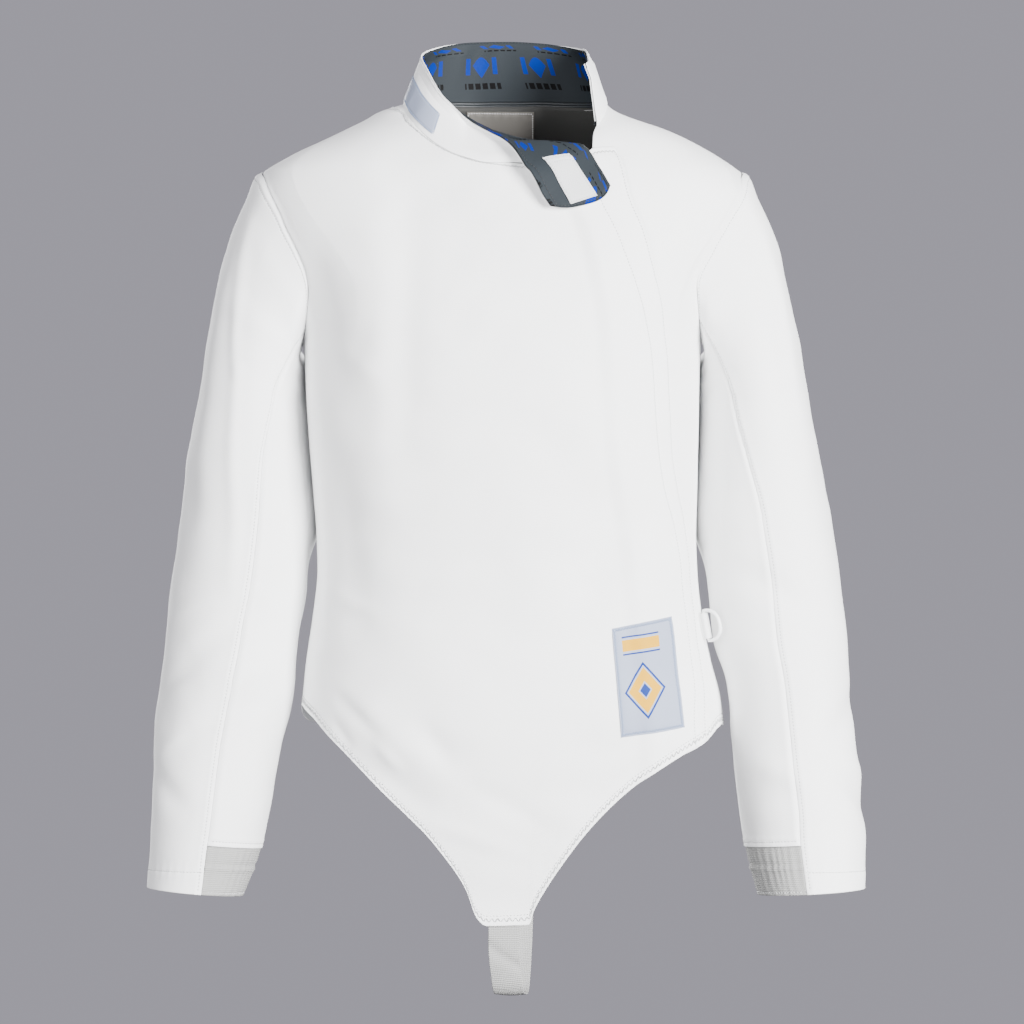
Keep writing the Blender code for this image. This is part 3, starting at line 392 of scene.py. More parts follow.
@dataclass(frozen=True)
class Spacing:
    """Where a grid's lines run: millimetres in from both edges, and even stretches up to given shares."""

    near: tuple[float, ...]
    far: tuple[float, ...]
    stretches: tuple[tuple[float, int], ...]

    def shares(self, lengths: Array) -> Array:
        """Shares from 0 to 1 along lines of these lengths, one row of shares a line."""
        lengths = np.atleast_1d(lengths)[:, None]
        near = np.array(self.near)[None] / lengths
        far = 1 - np.array(self.far)[None] / lengths
        parts = [near]
        start = near[:, -1:]
        for share, count in self.stretches:
            stop = far[:, -1:] if share == 1 else np.full_like(start, share)
            parts.append(start + (stop - start) * np.linspace(0, 1, count + 1)[None, 1:])
            start = stop
        return np.concatenate([*parts, far[:, -2::-1]], axis=1)


EDGE_LINES = (0.0, 0.9, 1.8, 2.7, 3.6, 4.5, 6.0, 7.2, 8.4, 9.6, 11.0)
SEAM_LINES = (0.0, 1.0, 2.0, 3.0, 4.2, 5.5, 7.0)
PLAIN_LINES = (0.0, 1.4)


@dataclass
class Panel:
    """One cut piece of cloth.

    chart turns shares across and up the piece into the places of its surface, and surface turns places and
    heights into points. folded edges have a hem of that width; sewn edges dip into their seam.
    """

    name: str
    chart: Chart
    surface: Surface
    across: Spacing
    up: Spacing
    wall: float = CLOTH
    seams: tuple[Seam, ...] = ()
    folded: dict[Edge, float] = field(default_factory=dict)
    sewn: tuple[Edge, ...] = ()
    proud: float = 0.6
    pucker: float = 0.2
    held: str = "stretched"
    samples: int = 49
    widths: Array = field(init=False)
    heights: Array = field(init=False)

    def __post_init__(self) -> None:
        """Measures the piece's width at each height and its height at each place across."""
        shares = np.linspace(0, 1, self.samples)
        s, t = np.meshgrid(shares, shares)
        points = self.surface(*self.chart(s, t), 0 * s)
        self.widths = np.linalg.norm(np.diff(points, axis=1), axis=-1).sum(axis=1)
        self.heights = np.linalg.norm(np.diff(points, axis=0), axis=-1).sum(axis=0)

    def width_at(self, t: Array) -> Array:
        """Width in millimetres at shares up the piece."""
        return np.interp(t, np.linspace(0, 1, self.samples), self.widths)

    def height_at(self, s: Array) -> Array:
        """Height in millimetres at shares across the piece."""
        return np.interp(s, np.linspace(0, 1, self.samples), self.heights)

    def reach(self, s: Array, t: Array) -> dict[Edge, Array]:
        """Millimetres to each edge from places on the piece."""
        width = self.width_at(t)
        height = self.height_at(s)
        return {Edge.LEFT: s * width, Edge.RIGHT: (1 - s) * width, Edge.BOTTOM: t * height,
                Edge.TOP: (1 - t) * height}

    def relief(self, s: Array, t: Array) -> Array:
        """What sewing does to the cloth: hems stand proud, stitches draw in, seams dip and pucker.

        Args:
            s: shares across.
            t: shares up.

        Returns:
            Heights over the plain surface.
        """
        reach = self.reach(s, t)
        total = np.zeros(np.broadcast(s, t).shape)
        for edge, width in self.folded.items():
            total = total + self.proud * (1 - soft_step((reach[edge] - width + 0.9) / 1.8))
        for edge in self.sewn:
            total = total + 0.5 * bell(reach[edge] - 5, 3) - 0.8 * bell(reach[edge], 1.8)
        for seam in self.seams:
            where, along = (t, reach[Edge.BOTTOM]) if seam.edge.upright else (s, reach[Edge.LEFT])
            live = soft_step((where - seam.start) * 60 + 1) * soft_step((seam.stop - where) * 60 + 1)
            beside = reach[seam.edge] - seam.inset - seam.zigzag / 2
            wave = np.sin(along * FULL_TURN / 8.5 + 2 * np.sin(along / 23))
            groove = 0.6 * bell(beside, 0.9 + seam.zigzag / 2)
            total = total + live * (self.pucker * wave * bell(beside, 5) - groove)
        return total

    def point(self, s: Array, t: Array, out: Array | float = 0.0) -> Array:
        """Points of the sewn cloth at shares across and up, out millimetres over its face."""
        return self.surface(*self.chart(s, t), self.relief(s, t) + out)

    def build(self) -> bpy.types.Object:
        """The piece as a closed sheet with its lengths as UVs."""
        plain = np.linspace(0, 1, self.samples)
        s_line = self.across.shares(self.widths.mean())[0]
        t_line = self.up.shares(self.heights.mean())[0]
        s = self.across.shares(np.interp(t_line, plain, self.widths))
        t = self.up.shares(np.interp(s_line, plain, self.heights)).T
        reach = self.reach(s, t)
        uv = np.stack([reach[Edge.LEFT], reach[Edge.BOTTOM]], axis=-1)
        face = self.point(s, t)
        places = self.chart(s, t)
        back = self.surface(*places, self.relief(s, t) - self.wall)
        self.middle = (face + back) / 2
        return make_wall(self.name, face, back, uv)

    def cut(self) -> tuple[tuple[float, float], float]:
        """The flat cut: the greatest width and height in metres, and the area in square metres."""
        grid = self.middle * MM
        one = np.cross(grid[:-1, 1:] - grid[:-1, :-1], grid[1:, :-1] - grid[:-1, :-1])
        two = np.cross(grid[1:, :-1] - grid[1:, 1:], grid[:-1, 1:] - grid[1:, 1:])
        area = (np.linalg.norm(one, axis=-1) + np.linalg.norm(two, axis=-1)).sum() / 2
        width = np.linalg.norm(np.diff(grid, axis=1), axis=-1).sum(axis=1).max()
        height = np.linalg.norm(np.diff(grid, axis=0), axis=-1).sum(axis=0).max()
        return (float(width), float(height)), float(area)

    def place(self, edge: Edge, share: Array, inset: Array) -> tuple[Array, Array]:
        """Shares across and up of places along an edge, inset millimetres from it."""
        if edge.upright:
            part = inset / self.width_at(share)
            return (part if edge is Edge.LEFT else 1 - part), share
        part = inset / self.height_at(share)
        return share, (part if edge is Edge.BOTTOM else 1 - part)

    def sew(self, thread: Thread) -> Thread:
        """Adds the stitches of every seam to a thread: evenly spaced by the length along the seam."""
        for seam in self.seams:
            share = np.linspace(seam.start, seam.stop, 500)
            path = self.point(*self.place(seam.edge, share, np.full_like(share, seam.inset)))
            lengths = np.concatenate([[0], np.cumsum(np.linalg.norm(np.diff(path, axis=0), axis=-1))])
            count = max(int(lengths[-1] / seam.pitch) - 1, 1)
            knots = (np.arange(count) + 0.5) * seam.pitch
            reach = 1.0 if seam.zigzag else 0.72
            odd = np.arange(count) % 2
            start = self.place(seam.edge, np.interp(knots, lengths, share), seam.inset + seam.zigzag * odd)
            end = self.place(seam.edge, np.interp(knots + reach * seam.pitch, lengths, share),
                             seam.inset + seam.zigzag * (1 - odd))
            if not seam.zigzag:
                end = self.place(seam.edge, np.interp(knots + reach * seam.pitch, lengths, share),
                                 np.full(count, seam.inset))
            normal = unit(self.point(*start, 1.0) - self.point(*start, 0.0))
            thread.add(self.point(*start, 0.2), self.point(*end, 0.2), normal)
        return thread


@dataclass(frozen=True)
class Look:
    """How a finished panel is dressed: its material, its stitches' material, and a slot that is kept but not given to
    the piece.
    """

    material: bpy.types.Material
    slot: Slot
    thread: bpy.types.Material | None = None


def dress(piece: bpy.types.Object, material: bpy.types.Material, body: Body = Body.JACKET) -> None:
    """Gives a piece its material and the body that it moves with."""
    piece.data.materials.append(material)
    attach(piece, body.value)


def finish_panel(panel: Panel, look: Look, extras: tuple[bpy.types.Object, ...] = ()) -> bpy.types.Object:
    """Builds a panel and its stitches, and puts them in place of the panel's plain solid.

    Args:
        panel: the piece; its name is its solid's name with a word added.
        look: materials and slot.
        extras: separate pieces on it.

    Returns:
        The sheet.
    """
    piece = panel.build()
    dress(piece, look.material)
    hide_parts(panel.name.removesuffix("_sheet"))
    pieces = list(extras)
    if panel.seams and look.thread:
        stitches = panel.sew(Thread()).build(panel.name.replace("_sheet", "_stitches"))
        dress(stitches, look.thread)
        pieces.append(stitches)
    return piece


# --- The body ---------------------------------------------------------------------------------------

RINGS = Rows(
    "z right left front back",
    (-740, 188, 192, 80, 60),
    (-680, 188, 192, 90, 80),
    (-620, 188, 193, 101, 100),
    (-560, 187, 196, 110, 112),
    (-520, 183, 193.5, 114, 114),
    (-480, 179, 184, 114, 110),
    (-440, 173, 176, 113, 102),
    (-400, 169, 172, 114, 92),
    (-370, 170, 171, 116, 88),
    (-330, 173, 172, 119, 90),
    (-280, 177, 173, 122, 96),
    (-230, 180, 174, 123, 104),
    (-195, 182, 176, 122, 109),
    (-165, 190, 184, 120, 112),
    (-137, 200.5, 192.5, 116, 112),
    (-113, 213, 207, 110, 110),
    (-90, 223, 217.5, 103, 106),
    (-66, 226.5, 224, 94, 101),
    (-44, 218, 211, 85.5, 93),
    (-30, 196, 192, 78, 86),
    (-16, 167, 167, 69, 78),
    (-5, 145, 143, 58, 70),
    (5, 125, 114, 43, 62),
    (10, 117, 102, 37, 58),
    (15, 104, 94, 30, 54),
    (19, 91, 90, 25, 52),
    (23, 84, 84, 21, 55),
    (30, 74, 74, 18, 52),
)
FRONT_FOLDS = Rows(
    "number x1 z1 x2 z2 width height",
    (1, -118, -40, -104, -330, 20, 2.6),
    (2, -82, -70, -92, -300, 16, -1.6),
    (3, 118, -330, 70, -400, 18, -2.2),
    (4, 128, -370, 90, -440, 16, 1.8),
    (5, -150, -300, -128, -460, 17, -2.2),
    (6, -138, -560, -60, -612, 13, -2.0),
    (7, -128, -520, -50, -584, 14, 1.8),
    (8, -40, -600, 70, -590, 15, -1.4),
    (9, 176, -96, 146, -190, 14, -2.0),
    (10, -168, -120, -150, -240, 15, -2.2),
)
BACK_FOLDS = Rows(
    "number x1 z1 x2 z2 width height",
    (1, -110, -60, -96, -320, 20, 2.6),
    (2, 104, -70, 112, -300, 19, 2.4),
    (3, -60, -350, 50, -372, 18, -2.6),
    (4, -30, -400, 90, -392, 17, 2.4),
    (5, -120, -420, -40, -452, 16, -2.0),
    (6, 0, -80, -6, -300, 24, -2.0),
    (7, 168, -110, 140, -220, 15, -2.0),
    (8, -172, -110, -146, -220, 15, -2.0),
)
FRONT_CREASES = Rows(
    "number x1 z1 x2 z2 width height",
    (1, -60, -622, 22, -650, 8, 1.0),
    (2, -24, -590, 40, -628, 9, -1.1),
    (3, 88, -352, 124, -332, 9, 1.0),
    (4, 60, -418, 110, -404, 9, -1.0),
    (5, -156, -420, -118, -436, 8, 1.0),
    (6, -150, -200, -112, -232, 10, 1.0),
    (7, 150, -540, 96, -570, 9, 1.0),
    (8, -146, -512, -116, -540, 7, -1.7),
    (9, -150, -534, -138, -552, 5, -1.2),
    (10, -72, -536, -50, -566, 10, -1.3),
    (11, -112, -552, -94, -572, 6, 1.1),
)
BACK_CREASES = Rows(
    "number x1 z1 x2 z2 width height",
    (1, -96, -376, -30, -390, 9, 1.2),
    (2, 10, -430, 84, -418, 9, -1.2),
    (3, -20, -458, 60, -470, 10, 1.0),
    (4, -130, -330, -92, -352, 9, 1.0),
    (5, 96, -350, 142, -338, 9, 1.0),
    (6, -70, -500, 30, -512, 11, -0.9),
)
ARMHOLES = {
    Side.RIGHT: Rows(
        "part front_angle front_z back_angle back_z",
        (0.00, 6, -195, -6, -195),
        (0.18, 19.6, -176, 10, -183),
        (0.36, 30, -141, 23, -146),
        (0.50, 31.4, -116, 26.5, -116),
        (0.63, 30.4, -91, 25.5, -89),
        (0.76, 24.5, -65, 21, -64),
        (0.88, 14, -50, 13, -50),
        (1.00, 0, -44, 0, -44),
    ),
    Side.LEFT: Rows(
        "part front_angle front_z back_angle back_z",
        (0.00, 12, -192, -12, -192),
        (0.18, 24, -168, 8, -181),
        (0.36, 30.4, -136, 23, -146),
        (0.50, 31.4, -110, 26.5, -114),
        (0.63, 29.6, -88, 25.5, -87),
        (0.76, 25.5, -66, 21, -64),
        (0.88, 14.5, -49.5, 13, -49),
        (1.00, 0, -44, 0, -44),
    ),
}
FRONT_HEM = Rows(
    "part x z",
    (0.00, -180, -521),
    (0.10, -150, -552),
    (0.20, -109, -593),
    (0.30, -67, -634),
    (0.39, -36, -677),
    (0.45, -24, -706),
    (0.47, -17, -711),
    (0.53, 20, -710),
    (0.55, 24, -699),
    (0.62, 45, -663),
    (0.72, 78, -620),
    (0.84, 125, -579),
    (1.00, 175, -549),
)
CLOSURE_EDGE = Rows(
    "z x",
    (-549, 175),
    (-509, 173),
    (-454, 166),
    (-408, 161),
    (-367, 157),
    (-313, 147),
    (-250, 142),
    (-208, 140),
    (-174, 137),
    (-139, 130),
    (-103, 121),
    (-73, 109),
    (-40, 101),
    (-28, 95),
)
FRONT_NECK = Rows(
    "part x z",
    (0.00, -91, 19),
    (0.06, -87, 6),
    (0.18, -68, -16),
    (0.30, -48, -30),
    (0.42, -25, -38),
    (0.58, 7, -41.5),
    (0.68, 26, -43),
    (0.80, 46, -42.5),
    (0.88, 60, -40),
    (0.92, 68, -36.5),
    (0.95, 77, -30),
    (1.00, 95, -28),
)
LEFT_NECK = Rows(
    "part x z",
    (0.00, 62, -56),
    (0.20, 72, -36),
    (0.32, 76, -28),
    (0.52, 77, -15),
    (0.68, 80, -6),
    (0.86, 87, 7),
    (1.00, 90, 19),
)
LEFT_HEM = Rows("part x z", (0.0, 134, -570), (0.6, 176, -552), (1.0, 190, -538))
BACK_HEM = Rows("part angle z", (0.0, -12, -538), (0.2, 20, -543), (0.5, 90, -546), (0.8, 158, -540),
                (1.0, 186, -521))


def bend(bottom: Line, top: Line, left: Line, right: Line, top_bend: float, s: Array, t: Array) -> Array:
    """A place inside four edges: straight between the sides, bent to the bottom and top near them.

    Args:
        bottom: the edge at t = 0, by shares across.
        top: the edge at t = 1.
        left: the edge at s = 0, by shares up.
        right: the edge at s = 1.
        top_bend: how fast the top's bend dies away downwards.
        s: shares across.
        t: shares up.

    Returns:
        Angles and heights.
    """
    ends = np.array([0.0, 1.0])
    share = s[..., None]
    up = t[..., None]
    straight = (1 - share) * left(t) + share * right(t)
    for edge, weight in ((bottom, 1 - up), (top, up**top_bend)):
        first, last = edge(ends)
        straight = straight + weight * (edge(s) - (1 - share) * first - share * last)
    return straight


def pinned(edge: Array, share: Array, at: float, value: Array, reach: float) -> Array:
    """An edge drawn onto a value at one share, and less within reach of it."""
    weight = np.clip(1 - np.abs(share - at) / reach, 0, 1)[..., None]
    return edge * (1 - weight) + np.asarray(value) * weight


@dataclass
class BodyForm:
    """The body: front, left front and back on one ring surface, by angle round it and height."""

    squareness: float = 0.12
    overlap_lift: float = 3.2
    overlap_width: float = 46.0
    overlap_ramp: float = 16.0
    underlap: float = 38.0
    tip_z: float = -44.0
    neck_z: float = 19.0
    neck_back_z: float = 23.0
    top_bend: float = 5.0
    fold_gain: float = 1.4
    front_rumple: Rumple = Rumple(11, 0.45)
    back_rumple: Rumple = Rumple(12, 0.55)

    def point(self, angle: Array, z: Array) -> Array:
        """Points of the ring surface: an ellipse squared a little by 1 + squareness times sine squared."""
        angle, z = np.broadcast_arrays(np.asarray(angle, float), np.asarray(z, float))
        c, s = np.cos(angle), np.sin(angle)
        width = np.where(c < 0, RINGS.at("right", z), RINGS.at("left", z))
        depth = np.where(s < 0, RINGS.at("front", z), RINGS.at("back", z))
        x = width * c * (1 + self.squareness * s * s)
        y = depth * s * (1 + self.squareness * c * c)
        return np.stack([x, y, z], axis=-1)

    def normal(self, angle: Array, z: Array) -> Array:
        """Outward normals, from small steps round and up the surface."""
        round_it = self.point(angle + 0.01, z) - self.point(angle - 0.01, z)
        up_it = self.point(angle, z + 1.5) - self.point(angle, z - 1.5)
        return unit(np.cross(round_it, up_it))

    def angle_at(self, x: Array, z: Array, front: bool = True) -> Array:
        """The angle at which a ring reaches x, by Newton's steps on its cosine.

        Args:
            x: millimetres to the wearer's left.
            z: the ring's height.
            front: whether on the front or the back.

        Returns:
            The angle in radians.
        """
        x = np.asarray(x, float)
        share = np.clip(x / np.where(x < 0, RINGS.at("right", z), RINGS.at("left", z)), -1, 1)
        c = share.copy()
        q = self.squareness
        for _ in range(8):
            c = np.clip(c - (c * (1 + q) - q * c**3 - share) / (1 + q - 3 * q * c * c), -1, 1)
        return -np.arccos(c) if front else np.arccos(c)

    def lap(self, points: Array) -> Array:
        """How far the right front stands off where it laps over the left front."""
        edge = CLOSURE_EDGE.at("x", points[..., 2])
        start = edge - self.overlap_width - self.overlap_ramp
        return self.overlap_lift * soft_step((points[..., 0] - start) / self.overlap_ramp)

    def cloth(self, angle: Array, z: Array, out: Array, overlap: bool = False) -> Array:
        """Points of the cloth with its folds, out millimetres outside its face.

        Args:
            angle: radians round the body.
            z: heights.
            out: millimetres outside.
            overlap: whether the closure's overlap is lifted.

        Returns:
            The points.
        """
        points = self.point(angle, z)
        x, height = points[..., 0], points[..., 2]
        front = self.fold_gain * (FRONT_FOLDS.ridges(x, height) + FRONT_CREASES.ridges(x, height))
        back = self.fold_gain * (BACK_FOLDS.ridges(x, height) + BACK_CREASES.ridges(x, height))
        front = front + self.front_rumple.at(x, height)
        back = back + self.back_rumple.at(x, height)
        fold = np.where(np.sin(angle) < 0, front, back) * np.clip(np.abs(np.sin(angle)) * 1.6, 0, 1)
        if overlap:
            fold = fold + self.lap(points)
        return points + self.normal(angle, z) * (fold + out)[..., None]

    def armhole(self, side: Side, which: str, part: Array) -> Array:
        """Angle and height along an armhole, from the armpit to the shoulder's tip."""
        rows = ARMHOLES[side]
        lean = np.radians(rows.at(which + "_angle", part))
        lean = -lean if which == "front" else lean
        if side is Side.RIGHT:
            lean = (-math.pi if which == "front" else math.pi) - lean
        return np.stack([lean, rows.at(which + "_z", part)], axis=-1)

    def side(self, side: Side, which: str, hem_z: float, armpit: float, t: Array) -> Array:
        """Up the side seam to the armpit at its share, and on round the armhole."""
        hole = self.armhole(side, which, np.clip((t - armpit) / (1 - armpit), 0, 1))
        pit_z = ARMHOLES[side].columns[which + "_z"][0]
        seam_z = hem_z + (pit_z - hem_z) * np.clip(t / armpit, 0, 1)
        return np.stack([hole[..., 0], np.where(t < armpit, seam_z, hole[..., 1])], axis=-1)

    def shoulder(self, angle: float, part: Array) -> Array:
        """Up a shoulder seam from its tip to the neck."""
        z = self.tip_z + (self.neck_z - self.tip_z) * part
        return np.stack([np.full_like(z, angle), z], axis=-1)

    def front_line(self, rows: Rows, part: Array) -> Array:
        """Angle and height along a table of x and z on the front."""
        z = rows.at("z", part)
        return np.stack([self.angle_at(rows.at("x", part), z), z], axis=-1)

    def front_right(self, s: Array, t: Array) -> tuple[Array, Array]:
        """Places of the main front, from the right side seam across to the closure edge."""
        shoulder, armpit = 0.25, 20 / 30
        seam = self.armhole(Side.RIGHT, "front", np.zeros(1))[0]
        hem_z = FRONT_HEM.columns["z"][0]

        def bottom(part: Array) -> Array:
            """The pointed hem."""
            return pinned(self.front_line(FRONT_HEM, part), part, 0.0, (seam[0], hem_z), 1 / 32)

        def top(part: Array) -> Array:
            """The shoulder seam and then the neckline."""
            neck = self.front_line(FRONT_NECK, np.clip((part - shoulder) / (1 - shoulder), 0, 1))
            up = self.shoulder(-math.pi, np.clip(part / shoulder, 0, 1))
            return np.where((part <= shoulder)[..., None], up, neck)

        def right(part: Array) -> Array:
            """The closure edge."""
            z = CLOSURE_EDGE.key[0] + (CLOSURE_EDGE.key[-1] - CLOSURE_EDGE.key[0]) * part
            return np.stack([self.angle_at(CLOSURE_EDGE.at("x", z), z), z], axis=-1)

        left = partial(self.side, Side.RIGHT, "front", hem_z, armpit)
        place = bend(bottom, top, left, right, self.top_bend, s, t)
        return place[..., 0], place[..., 1]

    def front_left(self, s: Array, t: Array) -> tuple[Array, Array]:
        """Places of the left front, from its hidden edge to the left side seam."""
        neck, armpit = 0.45, 14 / 24
        low, high = LEFT_HEM.columns["z"][0], LEFT_NECK.columns["z"][0]
        hem_z = LEFT_HEM.columns["z"][-1]
        seam = self.armhole(Side.LEFT, "front", np.zeros(1))[0]

        def left(part: Array) -> Array:
            """The edge that lies under the closure."""
            z = low + (high - low) * part
            edge = np.stack([self.angle_at(CLOSURE_EDGE.at("x", z) - self.underlap, z), z], axis=-1)
            return pinned(edge, part, 1.0, self.front_line(LEFT_NECK, np.zeros(1))[0], 1 / 24)

        def bottom(part: Array) -> Array:
            """The hem."""
            edge = pinned(self.front_line(LEFT_HEM, part), part, 0.0, left(np.zeros(1))[0], 1 / 9)
            return pinned(edge, part, 1.0, (seam[0], hem_z), 1 / 9)

        def top(part: Array) -> Array:
            """The neckline and then the shoulder seam."""
            line = self.front_line(LEFT_NECK, np.clip(part / neck, 0, 1))
            down = self.shoulder(0.0, np.clip((1 - part) / (1 - neck), 0, 1))
            return np.where((part > neck)[..., None], down, line)

        right = partial(self.side, Side.LEFT, "front", hem_z, armpit)
        place = bend(bottom, top, left, right, self.top_bend, s, t)
        return place[..., 0], place[..., 1]

    def back(self, s: Array, t: Array) -> tuple[Array, Array]:
        """Places of the back, from the left side seam round to the right one."""
        shoulder, armpit = 0.27, 12 / 22
        hem = BACK_HEM.columns["z"]

        def bottom(part: Array) -> Array:
            """The hem."""
            return np.stack([np.radians(BACK_HEM.at("angle", part)), BACK_HEM.at("z", part)], axis=-1)

        def top(part: Array) -> Array:
            """Up one shoulder, along the neckline and down the other shoulder."""
            angle = math.pi * np.clip((part - shoulder) / (1 - 2 * shoulder), 0, 1)
            z = self.neck_z + (self.neck_back_z - self.neck_z) * np.sin(angle) ** 2
            line = np.stack([angle, z], axis=-1)
            up = self.shoulder(0.0, np.clip(part / shoulder, 0, 1))
            down = self.shoulder(math.pi, np.clip((1 - part) / shoulder, 0, 1))
            line = np.where((part <= shoulder)[..., None], up, line)
            return np.where((part >= 1 - shoulder)[..., None], down, line)

        left = partial(self.side, Side.LEFT, "back", hem[0], armpit)
        right = partial(self.side, Side.RIGHT, "back", hem[-1], armpit)
        place = bend(bottom, top, left, right, self.top_bend, s, t)
        return place[..., 0], place[..., 1]

    def build(self, look: Look) -> None:
        """The three body panels with their seams."""
        finish_panel(Panel(
            "front_right_sheet", self.front_right, partial(self.cloth, overlap=True),
            Spacing(SEAM_LINES, (0, 0.9, 1.8, 2.7, 4.0, 8.0, 13.0, 17.0, 18.4, 19.3, 20.2, 21.4),
                    ((0.25, 36), (1.0, 104))),
            Spacing(EDGE_LINES, (0, 1.2, 2.4, 3.6, 4.5, 5.4, 6.6, 8.0), ((20 / 30, 112), (1.0, 60))),
            seams=(Seam(Edge.RIGHT, 1.8), Seam(Edge.RIGHT, 19.3), Seam(Edge.BOTTOM, 9.2),
                   Seam(Edge.BOTTOM, 3.4, zigzag=4.2, pitch=2.6), Seam(Edge.TOP, 3.4, start=0.25, zigzag=2.4, pitch=1.7)),
            folded={Edge.BOTTOM: 10.5, Edge.RIGHT: 21.0}, sewn=(Edge.LEFT,), proud=0.5), look)
        finish_panel(Panel(
            "front_left_sheet", self.front_left, self.cloth,
            Spacing(PLAIN_LINES, SEAM_LINES, ((0.45, 26), (1.0, 32))),
            Spacing(EDGE_LINES, (0, 1.2, 2.4, 3.6, 4.5, 5.4, 6.6, 8.0), ((14 / 24, 84), (1.0, 62))),
            seams=(Seam(Edge.BOTTOM, 9.2), Seam(Edge.BOTTOM, 3.4, zigzag=4.2, pitch=2.6)),
            folded={Edge.BOTTOM: 10.5}, sewn=(Edge.RIGHT,), proud=0.4), look)
        finish_panel(Panel(
            "back_sheet", self.back, self.cloth,
            Spacing(SEAM_LINES, SEAM_LINES, ((0.27, 30), (0.73, 66), (1.0, 30))),
            Spacing(EDGE_LINES, (0, 1.2, 2.4, 3.6, 4.5, 5.4, 6.6, 8.0), ((12 / 22, 76), (1.0, 58))),
            seams=(Seam(Edge.BOTTOM, 9.2), Seam(Edge.BOTTOM, 3.4, zigzag=4.2, pitch=2.6),
                   Seam(Edge.TOP, 4.5, start=0.27, stop=0.73)),
            folded={Edge.BOTTOM: 10.5}, sewn=(Edge.LEFT, Edge.RIGHT), proud=0.5), look)


# --- The sleeves ------------------------------------------------------------------------------------

SLEEVES = {
    Side.RIGHT: Rows(
        "drop outer inner mid_y half_depth tilt lean front_seam back_seam",
        (0, 278, 184.5, 8, 74, 0.00, 0.00, -124, 104),
        (50, 287, 181.5, 8, 72, 0.00, 0.00, -112, 107),
        (106, 293, 176.5, 5, 67, 0.02, 0.00, -106, 110),
        (163, 301, 179.5, 0, 63, 0.03, 0.01, -104, 110),
        (211, 305, 187, -6, 61, 0.04, 0.02, -102, 110),
        (252, 309, 190, -13, 60, 0.05, 0.03, -98, 110),
        (306, 314, 201, -24, 58, 0.06, 0.04, -97, 110),
        (362, 315, 210, -38, 55, 0.08, 0.05, -96, 110),
        (392, 315, 217, -44, 52, 0.09, 0.05, -96, 110),
        (434, 317, 232, -54, 47, 0.09, 0.05, -102, 110),
    ),
    Side.LEFT: Rows(
        "drop outer inner mid_y half_depth tilt lean front_seam back_seam",
        (0, 273, 179.5, 8, 74, 0.00, 0.00, -124, 104),
        (50, 283, 178, 8, 72, 0.00, 0.00, -110, 107),
        (106, 293, 176.5, 5, 67, 0.02, 0.00, -98, 110),
        (163, 301, 181, 0, 63, 0.03, 0.01, -96, 110),
        (211, 305, 187, -6, 61, 0.04, 0.02, -97, 110),
        (252, 308, 198, -13, 60, 0.05, 0.03, -98, 110),
        (306, 312, 202, -24, 58, 0.05, 0.04, -97, 110),
        (362, 317, 208, -38, 55, 0.06, 0.05, -97, 110),
        (392, 319, 212, -44, 53, 0.06, 0.05, -99, 110),
        (434, 317, 222, -54, 50, 0.06, 0.05, -99, 110),
    ),
}
SLEEVE_FOLDS = {
    Side.RIGHT: Rows(
        "number angle1 drop1 angle2 drop2 width height",
        (1, -40, -120, -52, 110, 13, 1.8),
        (2, -120, 180, -60, 225, 13, -2.6),
        (3, -130, 262, -70, 292, 13, -2.8),
        (4, -140, 230, -80, 250, 12, 2.2),
        (5, -20, 330, -70, 362, 11, -1.6),
        (6, 60, 190, 140, 232, 14, 2.4),
        (7, 70, 270, 150, 300, 13, -2.4),
        (8, 30, 120, 100, 160, 15, -2.0),
    ),
    Side.LEFT: Rows(
        "number angle1 drop1 angle2 drop2 width height",
        (1, -36, -110, -44, 60, 14, 1.6),
        (2, -60, 300, -10, 270, 13, -2.6),
        (3, -50, 340, 10, 370, 12, -2.0),
        (4, -120, 150, -60, 190, 14, -2.2),
        (5, -128, 320, -70, 345, 12, 2.0),
        (6, 60, 200, 140, 236, 14, 2.4),
        (7, 70, 280, 150, 306, 13, -2.4),
        (8, 30, 130, 100, 166, 15, -2.0),
    ),
}
SLEEVE_CREASES = {
    Side.RIGHT: Rows(
        "number angle1 drop1 angle2 drop2 width height",
        (1, -70, 180, -20, 200, 8, 1.0),
        (2, -64, 238, -24, 262, 8, -1.0),
        (3, -60, 300, -30, 318, 7, 1.0),
        (4, 20, 214, 74, 238, 9, -1.0),
        (5, 30, 330, 86, 350, 9, 1.0),
        (6, -42, -165, -78, -30, 7, 1.5),
        (7, -78, -36, -88, 165, 7, 1.5),
    ),
    Side.LEFT: Rows(
        "number angle1 drop1 angle2 drop2 width height",
        (1, -84, 258, -40, 240, 8, 1.0),
        (2, -46, 318, 6, 338, 8, 1.1),
        (3, -80, 340, -40, 372, 8, -1.1),
        (4, 20, 220, 74, 246, 9, -1.0),
        (5, 30, 336, 86, 352, 9, 1.0),
        (6, -44, -165, -50, 10, 8, 1.4),
    ),
}


